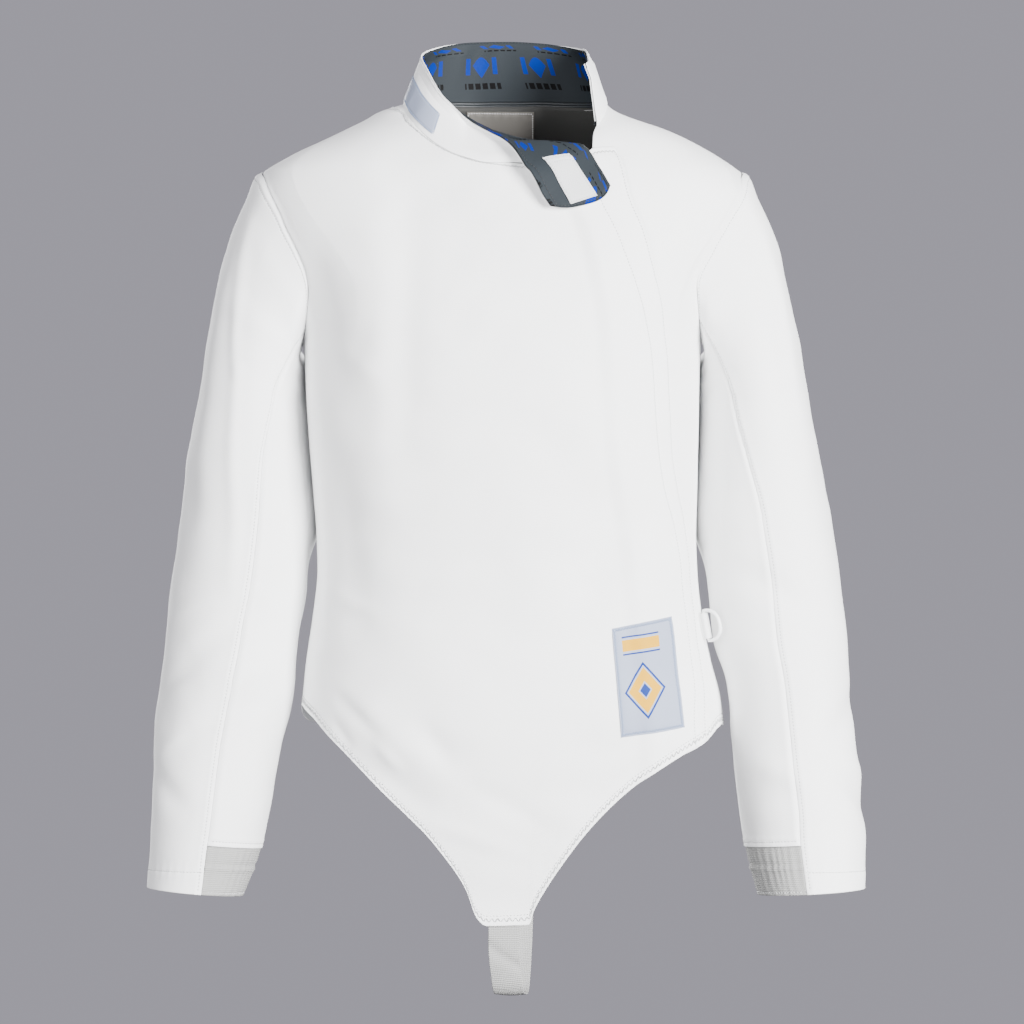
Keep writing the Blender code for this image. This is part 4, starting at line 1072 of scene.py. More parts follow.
@dataclass
class SleeveForm:
    """One sleeve: ovals that lean with the arm, and a cap that curves from them up to the armhole."""

    side: Side
    body: BodyForm
    bicep_z: float = -250.0
    cap_drop: float = 200.0
    seam_drop: float = 30.0
    gap: float = -0.5
    cuff_drop: float = 434.0
    under_drop: float = 392.0
    front_top: float = -162.0
    back_top: float = 108.0
    head_puff: float = 4.0
    tuck: float = 16.0
    tuck_angle: float = 148.0
    tuck_from: float = -95.0
    tuck_to: float = 95.0

    def ring(self, turn: Array, drop: Array) -> Array:
        """Points of the leaning ovals, drop millimetres below the bicep."""
        rows = SLEEVES[self.side]
        outer, inner = rows.at("outer", drop), rows.at("inner", drop)
        half_width, half_depth = (outer - inner) / 2, rows.at("half_depth", drop)
        c, s = np.cos(turn), np.sin(turn)
        x = (outer + inner) / 2 + half_width * c
        y = rows.at("mid_y", drop) + half_depth * s
        z = self.bicep_z - drop + rows.at("tilt", drop) * half_width * c - rows.at("lean", drop) * half_depth * s
        return np.stack([self.side.value * x, y, z], axis=-1)

    def loop(self, turn: Array) -> tuple[Array, Array]:
        """The body's edge round the armhole, and the body's outward way there."""
        wrapped = np.mod(turn + math.pi, FULL_TURN) - math.pi
        part = 1 - np.abs(wrapped) / math.pi
        front = self.body.armhole(self.side, "front", part)
        back = self.body.armhole(self.side, "back", part)
        edge = np.where((wrapped < 0)[..., None], front, back)
        angle, z = edge[..., 0], edge[..., 1]
        return self.body.cloth(angle, z, 0 * z), self.body.normal(angle, z)

    def point(self, turn: Array, drop: Array) -> Array:
        """Points of the sleeve: in the cap a cubic from the armhole to the bicep's oval."""
        top_share = (1 + np.cos(turn)) / 2
        start, body_way = self.loop(turn)
        along = self.loop(turn + 0.02)[0] - self.loop(turn - 0.02)[0]
        start = start + self.side.value * unit(np.cross(along, body_way)) * self.gap
        start = start + body_way * (self.gap * (1 - top_share))[..., None]
        away = [self.side.value * (0.34 + 0.30 * top_share), 0 * top_share, 0 * top_share - 0.85]
        end = self.ring(turn, 0 * drop)
        slope = (self.ring(turn, 0 * drop + 5.0) - end) / 5.0
        reach = np.linalg.norm(end - start, axis=-1, keepdims=True)
        t = np.clip(1 + drop / self.cap_drop, 0, 1)[..., None]
        cap = (start * (1 + 2 * t) * (1 - t) ** 2 + unit(np.stack(away, axis=-1)) * reach * t * (1 - t) ** 2
               + end * t * t * (3 - 2 * t) + slope * reach * t * t * (t - 1))
        return np.where((drop < 0)[..., None], cap, self.ring(turn, np.maximum(drop, 0)))

    def cloth(self, turn: Array, drop: Array, out: Array) -> Array:
        """Points of the sleeve's cloth with its folds, out millimetres outside its face."""
        low = np.maximum(drop - 2.0, -self.cap_drop)
        round_it = self.point(turn + 0.02, drop) - self.point(turn - 0.02, drop)
        down_it = self.point(turn, drop + 2.0) - self.point(turn, low)
        normal = -self.side.value * unit(np.cross(round_it, down_it))
        body_way = self.loop(turn)[1]
        at_seam = np.clip(1 - (drop + self.cap_drop) / self.seam_drop, 0, 1)
        at_seam = (at_seam * np.clip(2 * (normal * body_way).sum(axis=-1), 0, 1))[..., None]
        normal = unit(normal * (1 - at_seam) + body_way * at_seam)
        degrees = np.degrees(np.mod(turn + math.pi, FULL_TURN) - math.pi)
        fold = SLEEVE_FOLDS[self.side].ridges(degrees, drop) + SLEEVE_CREASES[self.side].ridges(degrees, drop)
        fold = self.body.fold_gain * fold + Rumple(21 if self.side is Side.RIGHT else 22, 0.45).at(80 * np.sin(turn), drop)
        fade = np.clip((drop + self.cap_drop) / 60, 0, 1) * np.clip((self.cuff_drop - drop) / 40, 0, 1)
        return self.point(turn, drop) + normal * (fold * fade + self.fullness(degrees, drop) + out)[..., None]

    def fullness(self, degrees: Array, drop: Array) -> Array:
        """How far the head puffs up at the shoulder, and the inner back swells toward the body."""
        head = self.head_puff * bell(drop + self.cap_drop - 7, 12) * bell(degrees, 38)
        swell = soft_step((drop - self.tuck_from + 50) / 50) * soft_step((self.tuck_to - drop) / 60 + 1)
        beside = np.mod(degrees - self.tuck_angle + 180, 360) - 180
        return head + self.tuck * swell * bell(beside, 31)

    def seam(self, name: str, drop: Array) -> Array:
        """Where a long seam runs: it swings from the armhole to its own line."""
        below = SLEEVES[self.side].at(name, np.maximum(drop, 0))
        top = self.front_top if name == "front_seam" else self.back_top
        return np.radians(below + (top - below) * np.clip(-drop / self.cap_drop, 0, 1) ** 1.2)

    def chart(self, outer: bool, low: float, high: float, s: Array, t: Array) -> tuple[Array, Array]:
        """Places of a piece between the two seams.

        Args:
            outer: whether it is on the outer side of the arm.
            low: drop of its top edge.
            high: drop of its bottom edge.
            s: shares across.
            t: shares down.

        Returns:
            Turns and drops.
        """
        drop = low + (high - low) * t
        front, back = self.seam("front_seam", drop), self.seam("back_seam", drop)
        start, end = (front, back) if outer else (back, front + FULL_TURN)
        return start + (end - start) * s, drop

    def build(self, look: Look, elastic: Look) -> None:
        """The outer sleeve, the under sleeve and the wrist's elastic."""
        word = self.side.word
        hem = (0, 1.2, 2.4, 3.4, 4.4, 5.6, 8.0, 11.0, 13.8, 14.8, 15.6, 16.4, 17.4)
        armhole = (0, 1.0, 2.0, 3.2, 4.6, 6.0, 6.8, 7.6, 8.6, 10.0)
        bicep_outer = self.cap_drop / (self.cap_drop + self.cuff_drop)
        finish_panel(Panel(
            f"sleeve_outer_{word}_sheet", partial(self.chart, True, -self.cap_drop, self.cuff_drop), self.cloth,
            Spacing(SEAM_LINES, SEAM_LINES, ((1.0, 84),)),
            Spacing(armhole, hem, ((bicep_outer, 58), (1.0, 128))),
            seams=(Seam(Edge.LEFT, 3.6), Seam(Edge.RIGHT, 3.6), Seam(Edge.BOTTOM, 7.0), Seam(Edge.TOP, 15.6)),
            folded={Edge.TOP: 17.0}, sewn=(Edge.LEFT, Edge.RIGHT, Edge.BOTTOM), proud=0.5), look)
        bicep_under = self.cap_drop / (self.cap_drop + self.under_drop)
        finish_panel(Panel(
            f"sleeve_under_{word}_sheet", partial(self.chart, False, -self.cap_drop, self.under_drop), self.cloth,
            Spacing(SEAM_LINES, SEAM_LINES, ((1.0, 44),)),
            Spacing(armhole, (0, 1.2, 2.4, 3.4, 4.4, 5.6, 7.0), ((bicep_under, 56), (1.0, 112))),
            seams=(Seam(Edge.BOTTOM, 7.0), Seam(Edge.TOP, 3.4)),
            folded={Edge.TOP: 6.0}, sewn=(Edge.LEFT, Edge.RIGHT, Edge.BOTTOM), proud=0.5), look)
        finish_panel(Panel(
            f"cuff_elastic_{word}_sheet", partial(self.chart, False, self.under_drop + 0.3, self.cuff_drop),
            self.elastic_cloth, Spacing(PLAIN_LINES, PLAIN_LINES, ((1.0, 90),)),
            Spacing(PLAIN_LINES, (0, 1.2, 2.4, 3.4, 4.6), ((1.0, 34),)),
            seams=(Seam(Edge.TOP, 2.6),), proud=0.3), elastic)

    def elastic_cloth(self, turn: Array, drop: Array, out: Array) -> Array:
        """The wrist's elastic: a little inside the sleeve, gathered in small pleats, folded once across."""
        gather = 0.35 * np.sin(turn * 46 + 1.5 * np.sin(turn * 9)) * bell(drop - self.cuff_drop + 24, 22)
        fold = 0.8 * bell(drop - self.under_drop - 19, 2.2) - 0.6 * bell(drop - self.under_drop - 15, 2.0)
        return self.cloth(turn, drop, out - 0.6 + gather + fold)


# --- The collar -------------------------------------------------------------------------------------

COLLAR = Rows(
    "station base_x base_z crest_x crest_y crest_z edge_x edge_y edge_z",
    (0, 80, -6, 75, -46, 36, 70, -40, 50),
    (18, 87, 7, 79, -22, 43, 72.5, -20, 55),
    (46, 90, 19, 79, 5, 54, 71, 6, 67),
    (88, 0, 0, 68, 40, 62, 63, 41, 74),
    (120, 0, 0, 36, 59, 70, 34, 60, 81),
    (156, 0, 0, 0, 62, 72, 1, 63, 83),
    (192, 0, 0, -35, 59, 70, -33, 60, 82),
    (226, 0, 0, -66, 42, 64, -61, 42, 75),
    (268, -91, 19, -79, 5, 52, -75, 6, 62),
    (296, -87, 6, -72, -22, 34, -68, -20, 45),
    (326, -68, -16, -59, -44, 13, -56, -41, 22),
    (350, -48, -30, -45, -52, 1, -44, -50, 9),
    (369, -30, -37, -31, -50, -1, -29, -60, -4),
    (384, -15, -41, -18, -56, -6, -15, -72, -13),
    (399, 0, -41.3, -3, -62, -12, -2, -83, -21),
    (413, 14, -42, 11, -68, -16, 6, -92, -29),
    (428, 28, -43, 24, -73, -20, 12, -99, -38),
    (444, 44, -42.5, 38, -78, -22.5, 17, -104, -47),
    (458, 57, -41, 53, -81, -25, 21.5, -106, -52),
    (470, 66, -37.5, 65.5, -83, -28, 25, -107, -58),
    (492, 82, -45, 79, -89, -46.5, 31.5, -108, -71.5),
    (516, 93, -64, 90, -96, -66, 39, -108, -83),
    (526, 97, -72, 94.5, -98.5, -74, 42, -108, -88),
)


@dataclass
class CollarForm:
    """The collar: a strip that stands on the neckline and rolls over into a tab at the front."""

    body: BodyForm
    length: float = 526.0
    tab_corner: float = 514.0
    roll_first: float = 0.10
    roll_span: float = 0.12
    back_from: float = 46.0
    back_to: float = 268.0
    tab_from: float = 436.0
    tab_blend: float = 42.0
    tab_top: float = 2.0
    roll_radius: float = 4.5
    roll_low: float = 0.35
    roll_high: float = 0.65
    lift: float = 0.6
    roll_lift: float = 1.1
    roll_starts: float = 350.0
    roll_lifted_by: float = 390.0
    roll_ends: float = 470.0
    clearance: float = 2.6
    layer: float = 1.2
    half_gap: float = 0.12
    pile: float = 1.2
    end_facing: float = 6.4
    fastener: tuple[tuple[float, float], ...] = ((521, 0.87), (520, 0.67), (470, 0.685), (455, 0.857))

    def base(self, station: Array) -> Array:
        """The neckline under the collar: on the fronts by x and z, round the back by angle."""
        x, z = COLLAR.at("base_x", station), COLLAR.at("base_z", station)
        on_back = (station > self.back_from) & (station < self.back_to)
        part = np.clip((station - self.back_from) / (self.back_to - self.back_from), 0, 1)
        rise = (self.body.neck_back_z - self.body.neck_z) * np.sin(math.pi * part) ** 2
        angle = np.where(on_back, math.pi * part, self.body.angle_at(x, z))
        height = np.where(on_back, self.body.neck_z + rise, z)
        rolled = np.clip((station - self.roll_starts) / (self.roll_ends - self.roll_starts), 0, 1)
        lap = self.body.lap(self.body.point(angle, height)) * (station > self.back_to)
        return self.body.cloth(angle, height, lap + self.clearance * rolled)

    def middle(self, station: Array, rise: Array) -> Array:
        """The collar's middle surface: up from the neckline, round an arc at the crest, on to the edge.

        Args:
            station: millimetres along the collar from its left end.
            rise: shares from the neckline to the edge.

        Returns:
            The points.
        """
        crest = COLLAR.point("crest_x crest_y crest_z", station)
        edge = COLLAR.point("edge_x edge_y edge_z", station)
        base = self.base(station)
        lifted = np.clip((station - self.roll_starts) / (self.roll_lifted_by - self.roll_starts), 0, 1)[..., None]
        base = base + unit(crest - base) * (self.lift + self.roll_lift * lifted)
        flat = np.clip((station - self.tab_from) / self.tab_blend, 0, 1)[..., None]
        stand = np.linalg.norm(crest - base, axis=-1, keepdims=True) * (1 - flat) + self.tab_top * flat
        base = crest - unit(unit(crest - base) * (1 - flat) + unit(edge - crest) * flat) * stand
        up, over = unit(crest - base), unit(edge - crest)
        half_turn = np.arccos(np.clip((up * over).sum(axis=-1), -0.8, 1)) / 2
        crest = crest + unit(up - over + 1e-9) * (self.roll_radius * (1 / np.cos(half_turn) - 1))[..., None]
        up, over = unit(crest - base), unit(edge - crest)
        cosine = np.clip((up * over).sum(axis=-1), -0.95, 1)
        turn = np.arccos(cosine)
        first = np.linalg.norm(crest - base, axis=-1)
        second = np.linalg.norm(edge - crest, axis=-1)
        cut = np.minimum(self.roll_radius * np.tan(turn / 2), 0.9 * np.minimum(first, second))
        radius = cut / np.maximum(np.tan(turn / 2), 1e-6)
        straight = first - cut
        arc = radius * turn
        total = straight + arc + second - cut
        low = np.clip(straight + arc / 2 - np.maximum(arc / 2, 4), self.roll_first * total, 0.80 * total)
        high = np.clip(straight + arc / 2 + np.maximum(arc / 2, 4), low + self.roll_span * total, 0.96 * total)
        middle_part = (rise - self.roll_low) / (self.roll_high - self.roll_low)
        reach = np.where(rise < self.roll_high, low + (high - low) * middle_part,
                         high + (total - high) * (rise - self.roll_high) / (1 - self.roll_high))
        reach = np.where(rise < self.roll_low, low * rise / self.roll_low, reach)
        toward = unit(over - up * cosine[..., None] + 1e-9)
        angle = np.clip((reach - straight) / np.maximum(radius, 1e-6), 0, turn)[..., None]
        arc_way = (up * np.sin(angle) + toward * (1 - np.cos(angle))) * radius[..., None]
        before = np.minimum(reach, straight)[..., None]
        after = np.maximum(reach - straight - arc, 0)[..., None]
        return base + up * before + arc_way + over * after

    def cloth(self, base_out: float, sign: float, station: Array, rise: Array, out: Array) -> Array:
        """Points over one side of the collar.

        Args:
            base_out: millimetres from the middle surface to the piece's face.
            sign: 1 on the white side and -1 on the lining's side.
            station: millimetres along.
            rise: shares up.
            out: millimetres over the face.

        Returns:
            The points.
        """
        ahead, behind = np.minimum(station + 2, self.length), np.maximum(station - 2, 0)
        above, below = np.minimum(rise + 0.02, 1), rise - 0.02
        along = self.middle(ahead, rise) - self.middle(behind, rise)
        normal = unit(np.cross(along, self.middle(station, above) - self.middle(station, below)))
        return self.middle(station, rise) + normal * (sign * (base_out + out))[..., None]

    def chart(self, start: float, stop: float, low: float, high: float, s: Array, t: Array) -> tuple[Array, Array]:
        """Places of a piece between two stations and two rises; the tab's end is drawn in to its corners.

        Args:
            start: first station.
            stop: last station.
            low: lowest rise.
            high: highest rise.
            s: shares across.
            t: shares up.

        Returns:
            Stations and rises. The end bulges as 1 less the cube of twice the share across the tab less 1.
        """
        station, rise = start + (stop - start) * s, low + (high - low) * t
        across = np.interp(rise, (0, self.roll_low, self.roll_high, 1),
                           (0, self.roll_first, self.roll_first + self.roll_span, 1))
        end = self.tab_corner + (self.length - self.tab_corner) * (1 - np.abs(2 * across - 1) ** 3)
        on_tab = np.clip((station - self.tab_from) / (self.length - self.tab_from), 0, 1)
        return np.where(station > self.tab_from, self.tab_from + (end - self.tab_from) * on_tab, station), rise

    def fastener_chart(self, s: Array, t: Array) -> tuple[Array, Array]:
        """Places inside the fastener's four corners, straight both ways between them."""
        a, b, c, d = (np.array(corner, float) for corner in self.fastener)
        u, v = s[..., None], t[..., None]
        place = (1 - u) * (1 - v) * a + u * (1 - v) * b + u * v * c + (1 - u) * v * d
        return place[..., 0], place[..., 1]

    def build(self, white: Look, lining: Look, plain: Look, pile: Look, lilac: Look) -> None:
        """The shell with its end facing, the lining with its piping, the fastener and the side label."""
        whole = partial(self.chart, 0, self.length, -0.04, 1)
        inside = partial(self.chart, self.end_facing + 0.3, self.length, 0.025, 1)
        across = Spacing((0, 1.0, 2.0, 3.0, 4.2), (0, 1.0, 2.0, 3.0, 4.2), ((0.68, 118), (1.0, 84)))
        up = Spacing((0, 1.0, 2.0, 3.2), (0, 0.9, 1.8, 2.7, 3.6, 4.8), ((0.35, 9), (0.65, 16), (1.0, 12)))
        face = self.half_gap + self.layer
        finish_panel(Panel(
            "collar_shell_sheet", whole, partial(self.cloth, face, 1.0), across, up, wall=self.layer,
            seams=(Seam(Edge.TOP, 2.7),), sewn=(Edge.BOTTOM,),
            folded={Edge.TOP: 7.6}, pucker=0.1), white, (self.facing(face, white),))
        pipings = tuple(self.piping(lower, plain) for lower in (False, True))
        finish_panel(Panel(
            "collar_lining_sheet", inside, partial(self.lining_cloth, face), across, up, wall=self.layer,
            seams=(Seam(Edge.TOP, 2.7), Seam(Edge.RIGHT, 2.7)), pucker=0.1), lining, pipings)
        finish_panel(Panel(
            "collar_fastener_sheet", self.fastener_chart, partial(self.cloth, face + 0.2 + self.pile, -1.0),
            Spacing((0, 0.8, 1.6, 2.4, 3.4), (0, 0.8, 1.6, 2.4, 3.4), ((1.0, 34),)),
            Spacing((0, 0.8, 1.6, 2.4, 3.4), (0, 0.8, 1.6, 2.4, 3.4), ((1.0, 30),)), wall=self.pile,
            seams=(*(Seam(edge, 1.7, pitch=2.4) for edge in Edge), Seam(Edge.TOP, 7.4, pitch=2.4)),
            folded={Edge.TOP: 8.2}, proud=0.4, pucker=0.0), pile)
        finish_panel(Panel(
            "label_collar_sheet", partial(self.chart, 262, 331, 0.02, 0.30),
            partial(self.cloth, face + 0.3 + 0.6, 1.0),
            Spacing((0, 0.8, 1.6, 2.4), (0, 0.8, 1.6, 2.4), ((1.0, 40),)),
            Spacing((0, 0.8, 1.6, 2.4), (0, 0.8, 1.6, 2.4), ((1.0, 18),)), wall=0.6,
            seams=tuple(Seam(edge, 1.2, pitch=2.2) for edge in Edge), pucker=0.05), lilac)

    def lining_cloth(self, face: float, station: Array, rise: Array, out: Array) -> Array:
        """The lining: smooth on the tab, and with soft upright ripples round the neck."""
        loose = 1 - soft_step((station - 380) / 60)
        ripple = 0.7 * np.sin(station / 9 + 1.5 * np.sin(station / 31)) * bell(rise - 0.45, 0.35)
        return self.cloth(face, -1.0, station, rise, out + loose * (ripple * ripple))

    def facing(self, face: float, white: Look) -> bpy.types.Object:
        """The white strip that covers the inner side of the collar's left end."""
        strip = Panel(
            "collar_end_facing", partial(self.chart, 0, self.end_facing, 0.03, 1),
            partial(self.cloth, face, -1.0), Spacing((0, 0.8, 1.6), (0, 0.8, 1.6), ((1.0, 6),)),
            Spacing(PLAIN_LINES, PLAIN_LINES, ((1.0, 60),)), wall=self.layer, pucker=0.0).build()
        dress(strip, white.material)
        return strip

    def piping(self, lower: bool, lining: Look) -> bpy.types.Object:
        """One of the two fine cords that cover the neck seam on the inside."""
        station = np.linspace(2, 430, 260)
        depth = np.full_like(station, self.layer + 0.9 if lower else self.layer + 1.0)
        line = self.cloth(0.0, -1.0, station, np.zeros_like(station) + 0.012, depth)
        line[:, 2] += -2.3 if lower else -0.2
        cord = make_tube(f"neck_piping_{'lower' if lower else 'upper'}", line, 1.0, 10, False)
        dress(cord, lining.material)
        return cord


# --- Labels, strap and ring -------------------------------------------------------------------------


@dataclass
class LabelForm:
    """The label on the front and the bare one inside the back of the neck."""

    body: BodyForm
    front: tuple[tuple[float, float], ...] = ((100, -545), (155, -537), (143, -440), (92, -450))
    neck: tuple[tuple[float, float], ...] = ((-36, -8), (26, -8), (26, 18), (-36, 18))
    wall: float = 0.7
    front_gap: float = 0.4
    neck_gap: float = 1.1

    def chart(self, corners: tuple[tuple[float, float], ...], front: bool, s: Array, t: Array
              ) -> tuple[Array, Array]:
        """Places inside four corners of x and z, straight both ways between them."""
        a, b, c, d = (np.array(corner, float) for corner in corners)
        u, v = s[..., None], t[..., None]
        place = (1 - u) * (1 - v) * a + u * (1 - v) * b + u * v * c + (1 - u) * v * d
        return self.body.angle_at(place[..., 0], place[..., 1], front), place[..., 1]

    def front_cloth(self, angle: Array, z: Array, out: Array) -> Array:
        """The front label over the overlap's face."""
        return self.body.cloth(angle, z, out + self.front_gap + self.wall, overlap=True)

    def neck_cloth(self, angle: Array, z: Array, out: Array) -> Array:
        """The neck label inside the back's inner face; over is toward the neck."""
        return self.body.cloth(angle, z, -(CLOTH + self.neck_gap + self.wall) - out)

    def build(self, lilac: Look, cream: Look) -> None:
        """Both labels with their border stitches."""
        lines = (0, 0.8, 1.6, 2.4, 3.4)
        finish_panel(Panel(
            "label_front_sheet", partial(self.chart, self.front, True), self.front_cloth,
            Spacing(lines, lines, ((1.0, 36),)), Spacing(lines, lines, ((1.0, 56),)), wall=self.wall,
            seams=tuple(Seam(edge, 1.2, zigzag=2.2, pitch=1.5) for edge in Edge), pucker=0.12), lilac)
        finish_panel(Panel(
            "label_neck_sheet", partial(self.chart, self.neck, False), self.neck_cloth,
            Spacing(lines, lines, ((1.0, 36),)), Spacing(lines, lines, ((1.0, 20),)), wall=self.wall,
            seams=tuple(Seam(edge, 1.4, pitch=2.4) for edge in Edge), pucker=0.25), cream)


STRAP_PATH = Rows(
    "part x y z",
    (0.00, -2, -84.5, -696),
    (0.04, -2, -81.9, -711),
    (0.08, -2, -79, -729),
    (0.14, 0, -72.5, -754),
    (0.20, 3, -58, -774),
    (0.27, 6, -38, -777),
    (0.36, 9, -12, -752),
    (0.50, 11, 24, -702),
    (0.70, 11, 66, -628),
    (0.88, 9, 101, -566),
    (0.93, 8, 108.0, -547),
    (0.96, 7, 109.1, -536),
    (1.00, 7, 109.8, -522),
)


@dataclass
class StrapForm:
    """The crotch strap: an elastic tape that hangs in a loop from the front's point to the back's hem."""

    width: float = 27.0
    wall: float = 1.4

    def chart(self, s: Array, t: Array) -> tuple[Array, Array]:
        """Shares across and along the tape as they are."""
        return s, t

    def cloth(self, s: Array, t: Array, out: Array) -> Array:
        """Points of the tape: its path, its width square to the path, and a crease across where it folds."""
        line = STRAP_PATH.point("x y z", t)
        ahead = unit(STRAP_PATH.point("x y z", t + 0.004) - STRAP_PATH.point("x y z", t - 0.004))
        across = np.array([1.0, 0.0, 0.0])
        across = unit(across - ahead * (ahead @ across)[..., None])
        normal = unit(np.cross(across, ahead))
        crease = 1.4 * bell((t - 0.105 - 0.05 * (s - 0.5)) * 400, 5.0) - 1.0 * bell((t - 0.17) * 400, 8.0)
        cup = 1.2 * (2 * s - 1) ** 2 * bell(t - 0.25, 0.16)
        place = line + across * ((s - 0.5) * self.width)[..., None]
        return place + normal * (out + self.wall / 2 + crease + cup)[..., None]

    def build(self, look: Look) -> None:
        """The tape, as one closed sheet along its path."""
        finish_panel(Panel(
            "crotch_strap_sheet", self.chart, self.cloth, Spacing((0, 0.8, 1.8), (0, 0.8, 1.8), ((1.0, 16),)),
            Spacing((0, 1.5), (0, 1.5), ((1.0, 150),)), wall=self.wall, proud=0.0, held="hung"), look)


@dataclass
class RingForm:
    """The moulded ring with its straight bar, and the cloth tab round the bar."""

    centre: tuple[float, float, float] = (178.5, -34.5, -449.5)
    bar_top: tuple[float, float, float] = (-2.5, 0.0, 13.3)
    bar_length: float = 27.0
    depth: float = 16.0
    wire: float = 1.6
    swing: float = 45.0
    tab_swing: float = 22.0
    tab_width: float = 23.0
    tab_tail: float = 5.4
    tab_wall: float = 1.0
    tab_hole: float = 2.1

    def axes(self, swing: float) -> tuple[Array, Array, Array]:
        """The way up the bar, the way out along a swing, and the way square to both."""
        bar = unit(np.array(self.bar_top))
        out = np.array([math.cos(math.radians(swing)), -math.sin(math.radians(swing)), 0.0])
        out = unit(out - bar * out.dot(bar))
        return bar, out, np.cross(bar, out)

    def tab_chart(self, s: Array, t: Array) -> tuple[Array, Array]:
        """Shares along the bar and round the loop as they are."""
        return s, t

    def tab_cloth(self, s: Array, t: Array, out: Array) -> Array:
        """The loop: a flat tail, once round the eye, and the tail again on the other side."""
        bar, ahead, beside = self.axes(self.tab_swing)
        radius = self.tab_hole + self.tab_wall
        open_angle = math.asin(self.tab_wall / radius)
        turn = -math.pi + open_angle + (2 * math.pi - 2 * open_angle) * np.clip((t - 0.2) / 0.6, 0, 1)
        tail = np.clip((0.2 - t) / 0.2, 0, 1) + np.clip((t - 0.8) / 0.2, 0, 1)
        flat = np.clip(tail * 6, 0, 1)
        root = radius * math.cos(math.pi - open_angle)
        p = (radius + out) * np.cos(turn) * (1 - (tail > 0)) + (root - (self.tab_tail + root) * tail) * (tail > 0)
        side = np.where(t < 0.5, -1.0, 1.0) * (self.tab_wall + out)
        q = np.where(tail > 0, side * flat + (radius + out) * np.sin(turn) * (1 - flat), (radius + out) * np.sin(turn))
        along = (s - 0.5) * self.tab_width
        return (np.array(self.centre) + bar * along[..., None] + ahead * p[..., None] + beside * q[..., None])

    def build(self, plastic: bpy.types.Material, white: Look) -> None:
        """The ring's wire with a round bow, and the tab."""
        bar, out, _ = self.axes(self.swing)
        half = self.bar_length / 2
        bow = np.radians(np.linspace(-90, 90, 61))
        straight = np.linspace(0.88, -0.88, 22)
        up = np.concatenate([half * np.sin(bow), half * straight])
        away = np.concatenate([self.depth * np.cos(bow) ** 0.7, 0 * straight])
        line = np.array(self.centre) + bar * up[:, None] + out * away[:, None]
        ring = make_tube("d_ring_moulding", line, self.wire, 16, True)
        dress(ring, plastic, Body.RING)
        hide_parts("d_ring")
        lines = (0, 0.8, 1.6)
        finish_panel(Panel(
            "ring_tab_sheet", self.tab_chart, self.tab_cloth, Spacing(lines, lines, ((1.0, 18),)),
            Spacing((0, 0.5), (0, 0.5), ((0.2, 6), (0.8, 40), (1.0, 6))), wall=self.tab_wall - 0.05, proud=0.0,
            held="folded"), white)


# --- Materials --------------------------------------------------------------------------------------


class Tree:
    """A node tree with short ways to add nodes and feed their sockets."""

    def __init__(self, tree: bpy.types.NodeTree) -> None:
        """Works on a tree."""
        self.tree = tree

    def feed(self, socket: bpy.types.NodeSocket, value: Feed) -> None:
        """Links a socket, or sets its value."""
        if isinstance(value, bpy.types.NodeSocket):
            self.tree.links.new(value, socket)
        else:
            socket.default_value = value

    def add(self, kind: str, feeds: dict[str | int, Feed] | None = None, **settings: object) -> bpy.types.Node:
        """Adds a node.

        Args:
            kind: its type's name without ShaderNode.
            feeds: values or sockets for its inputs.
            settings: its other properties.

        Returns:
            The node.
        """
        node = self.tree.nodes.new("ShaderNode" + kind)
        for key, value in settings.items():
            setattr(node, key, value)
        for key, value in (feeds or {}).items():
            self.feed(node.inputs[key], value)
        return node

    def math(self, operation: str, *values: Feed) -> bpy.types.NodeSocket:
        """The result of a math node."""
        return self.add("Math", dict(enumerate(values)), operation=operation).outputs[0]

    def split(self, vector: bpy.types.NodeSocket) -> tuple[bpy.types.NodeSocket, ...]:
        """The parts of a vector."""
        return tuple(self.add("SeparateXYZ", {0: vector}).outputs)

    def mix(self, share: Feed, first: Feed, second: Feed) -> bpy.types.NodeSocket:
        """A colour between two."""
        node = self.add("Mix", {0: share}, data_type="RGBA")
        self.feed(node.inputs[6], first)
        self.feed(node.inputs[7], second)
        return node.outputs[2]

    def inside(self, value: Feed, middle: float, half: float) -> bpy.types.NodeSocket:
        """One where a value is within half of the middle."""
        off = self.math("ABSOLUTE", self.math("SUBTRACT", value, middle))
        return self.math("LESS_THAN", off, half)

    def lozenge(self, x: Feed, y: Feed, wide: float, high: float) -> bpy.types.NodeSocket:
        """A lozenge's own distance: 0 in its middle and 1 on its outline."""
        across = self.math("DIVIDE", self.math("ABSOLUTE", x), wide)
        return self.math("ADD", across, self.math("DIVIDE", self.math("ABSOLUTE", y), high))


def make_group(name: str, ins: dict[str, str], outs: tuple[str, ...]
               ) -> tuple[bpy.types.NodeTree, Tree, dict[str, bpy.types.NodeSocket], bpy.types.Node]:
    """An empty shader node group with its sockets.

    Args:
        name: the group's name.
        ins: names and kinds of its inputs.
        outs: names of its float outputs.

    Returns:
        The group, a tree to add to, its input sockets by name, and its output node.
    """
    group = bpy.data.node_groups.new(name, "ShaderNodeTree")
    for key, kind in ins.items():
        group.interface.new_socket(key, in_out="INPUT", socket_type="NodeSocket" + kind)
    for key in outs:
        group.interface.new_socket(key, in_out="OUTPUT", socket_type="NodeSocketFloat")
    entry = group.nodes.new("NodeGroupInput")
    end = group.nodes.new("NodeGroupOutput")
    return group, Tree(group), {key: entry.outputs[key] for key in ins}, end


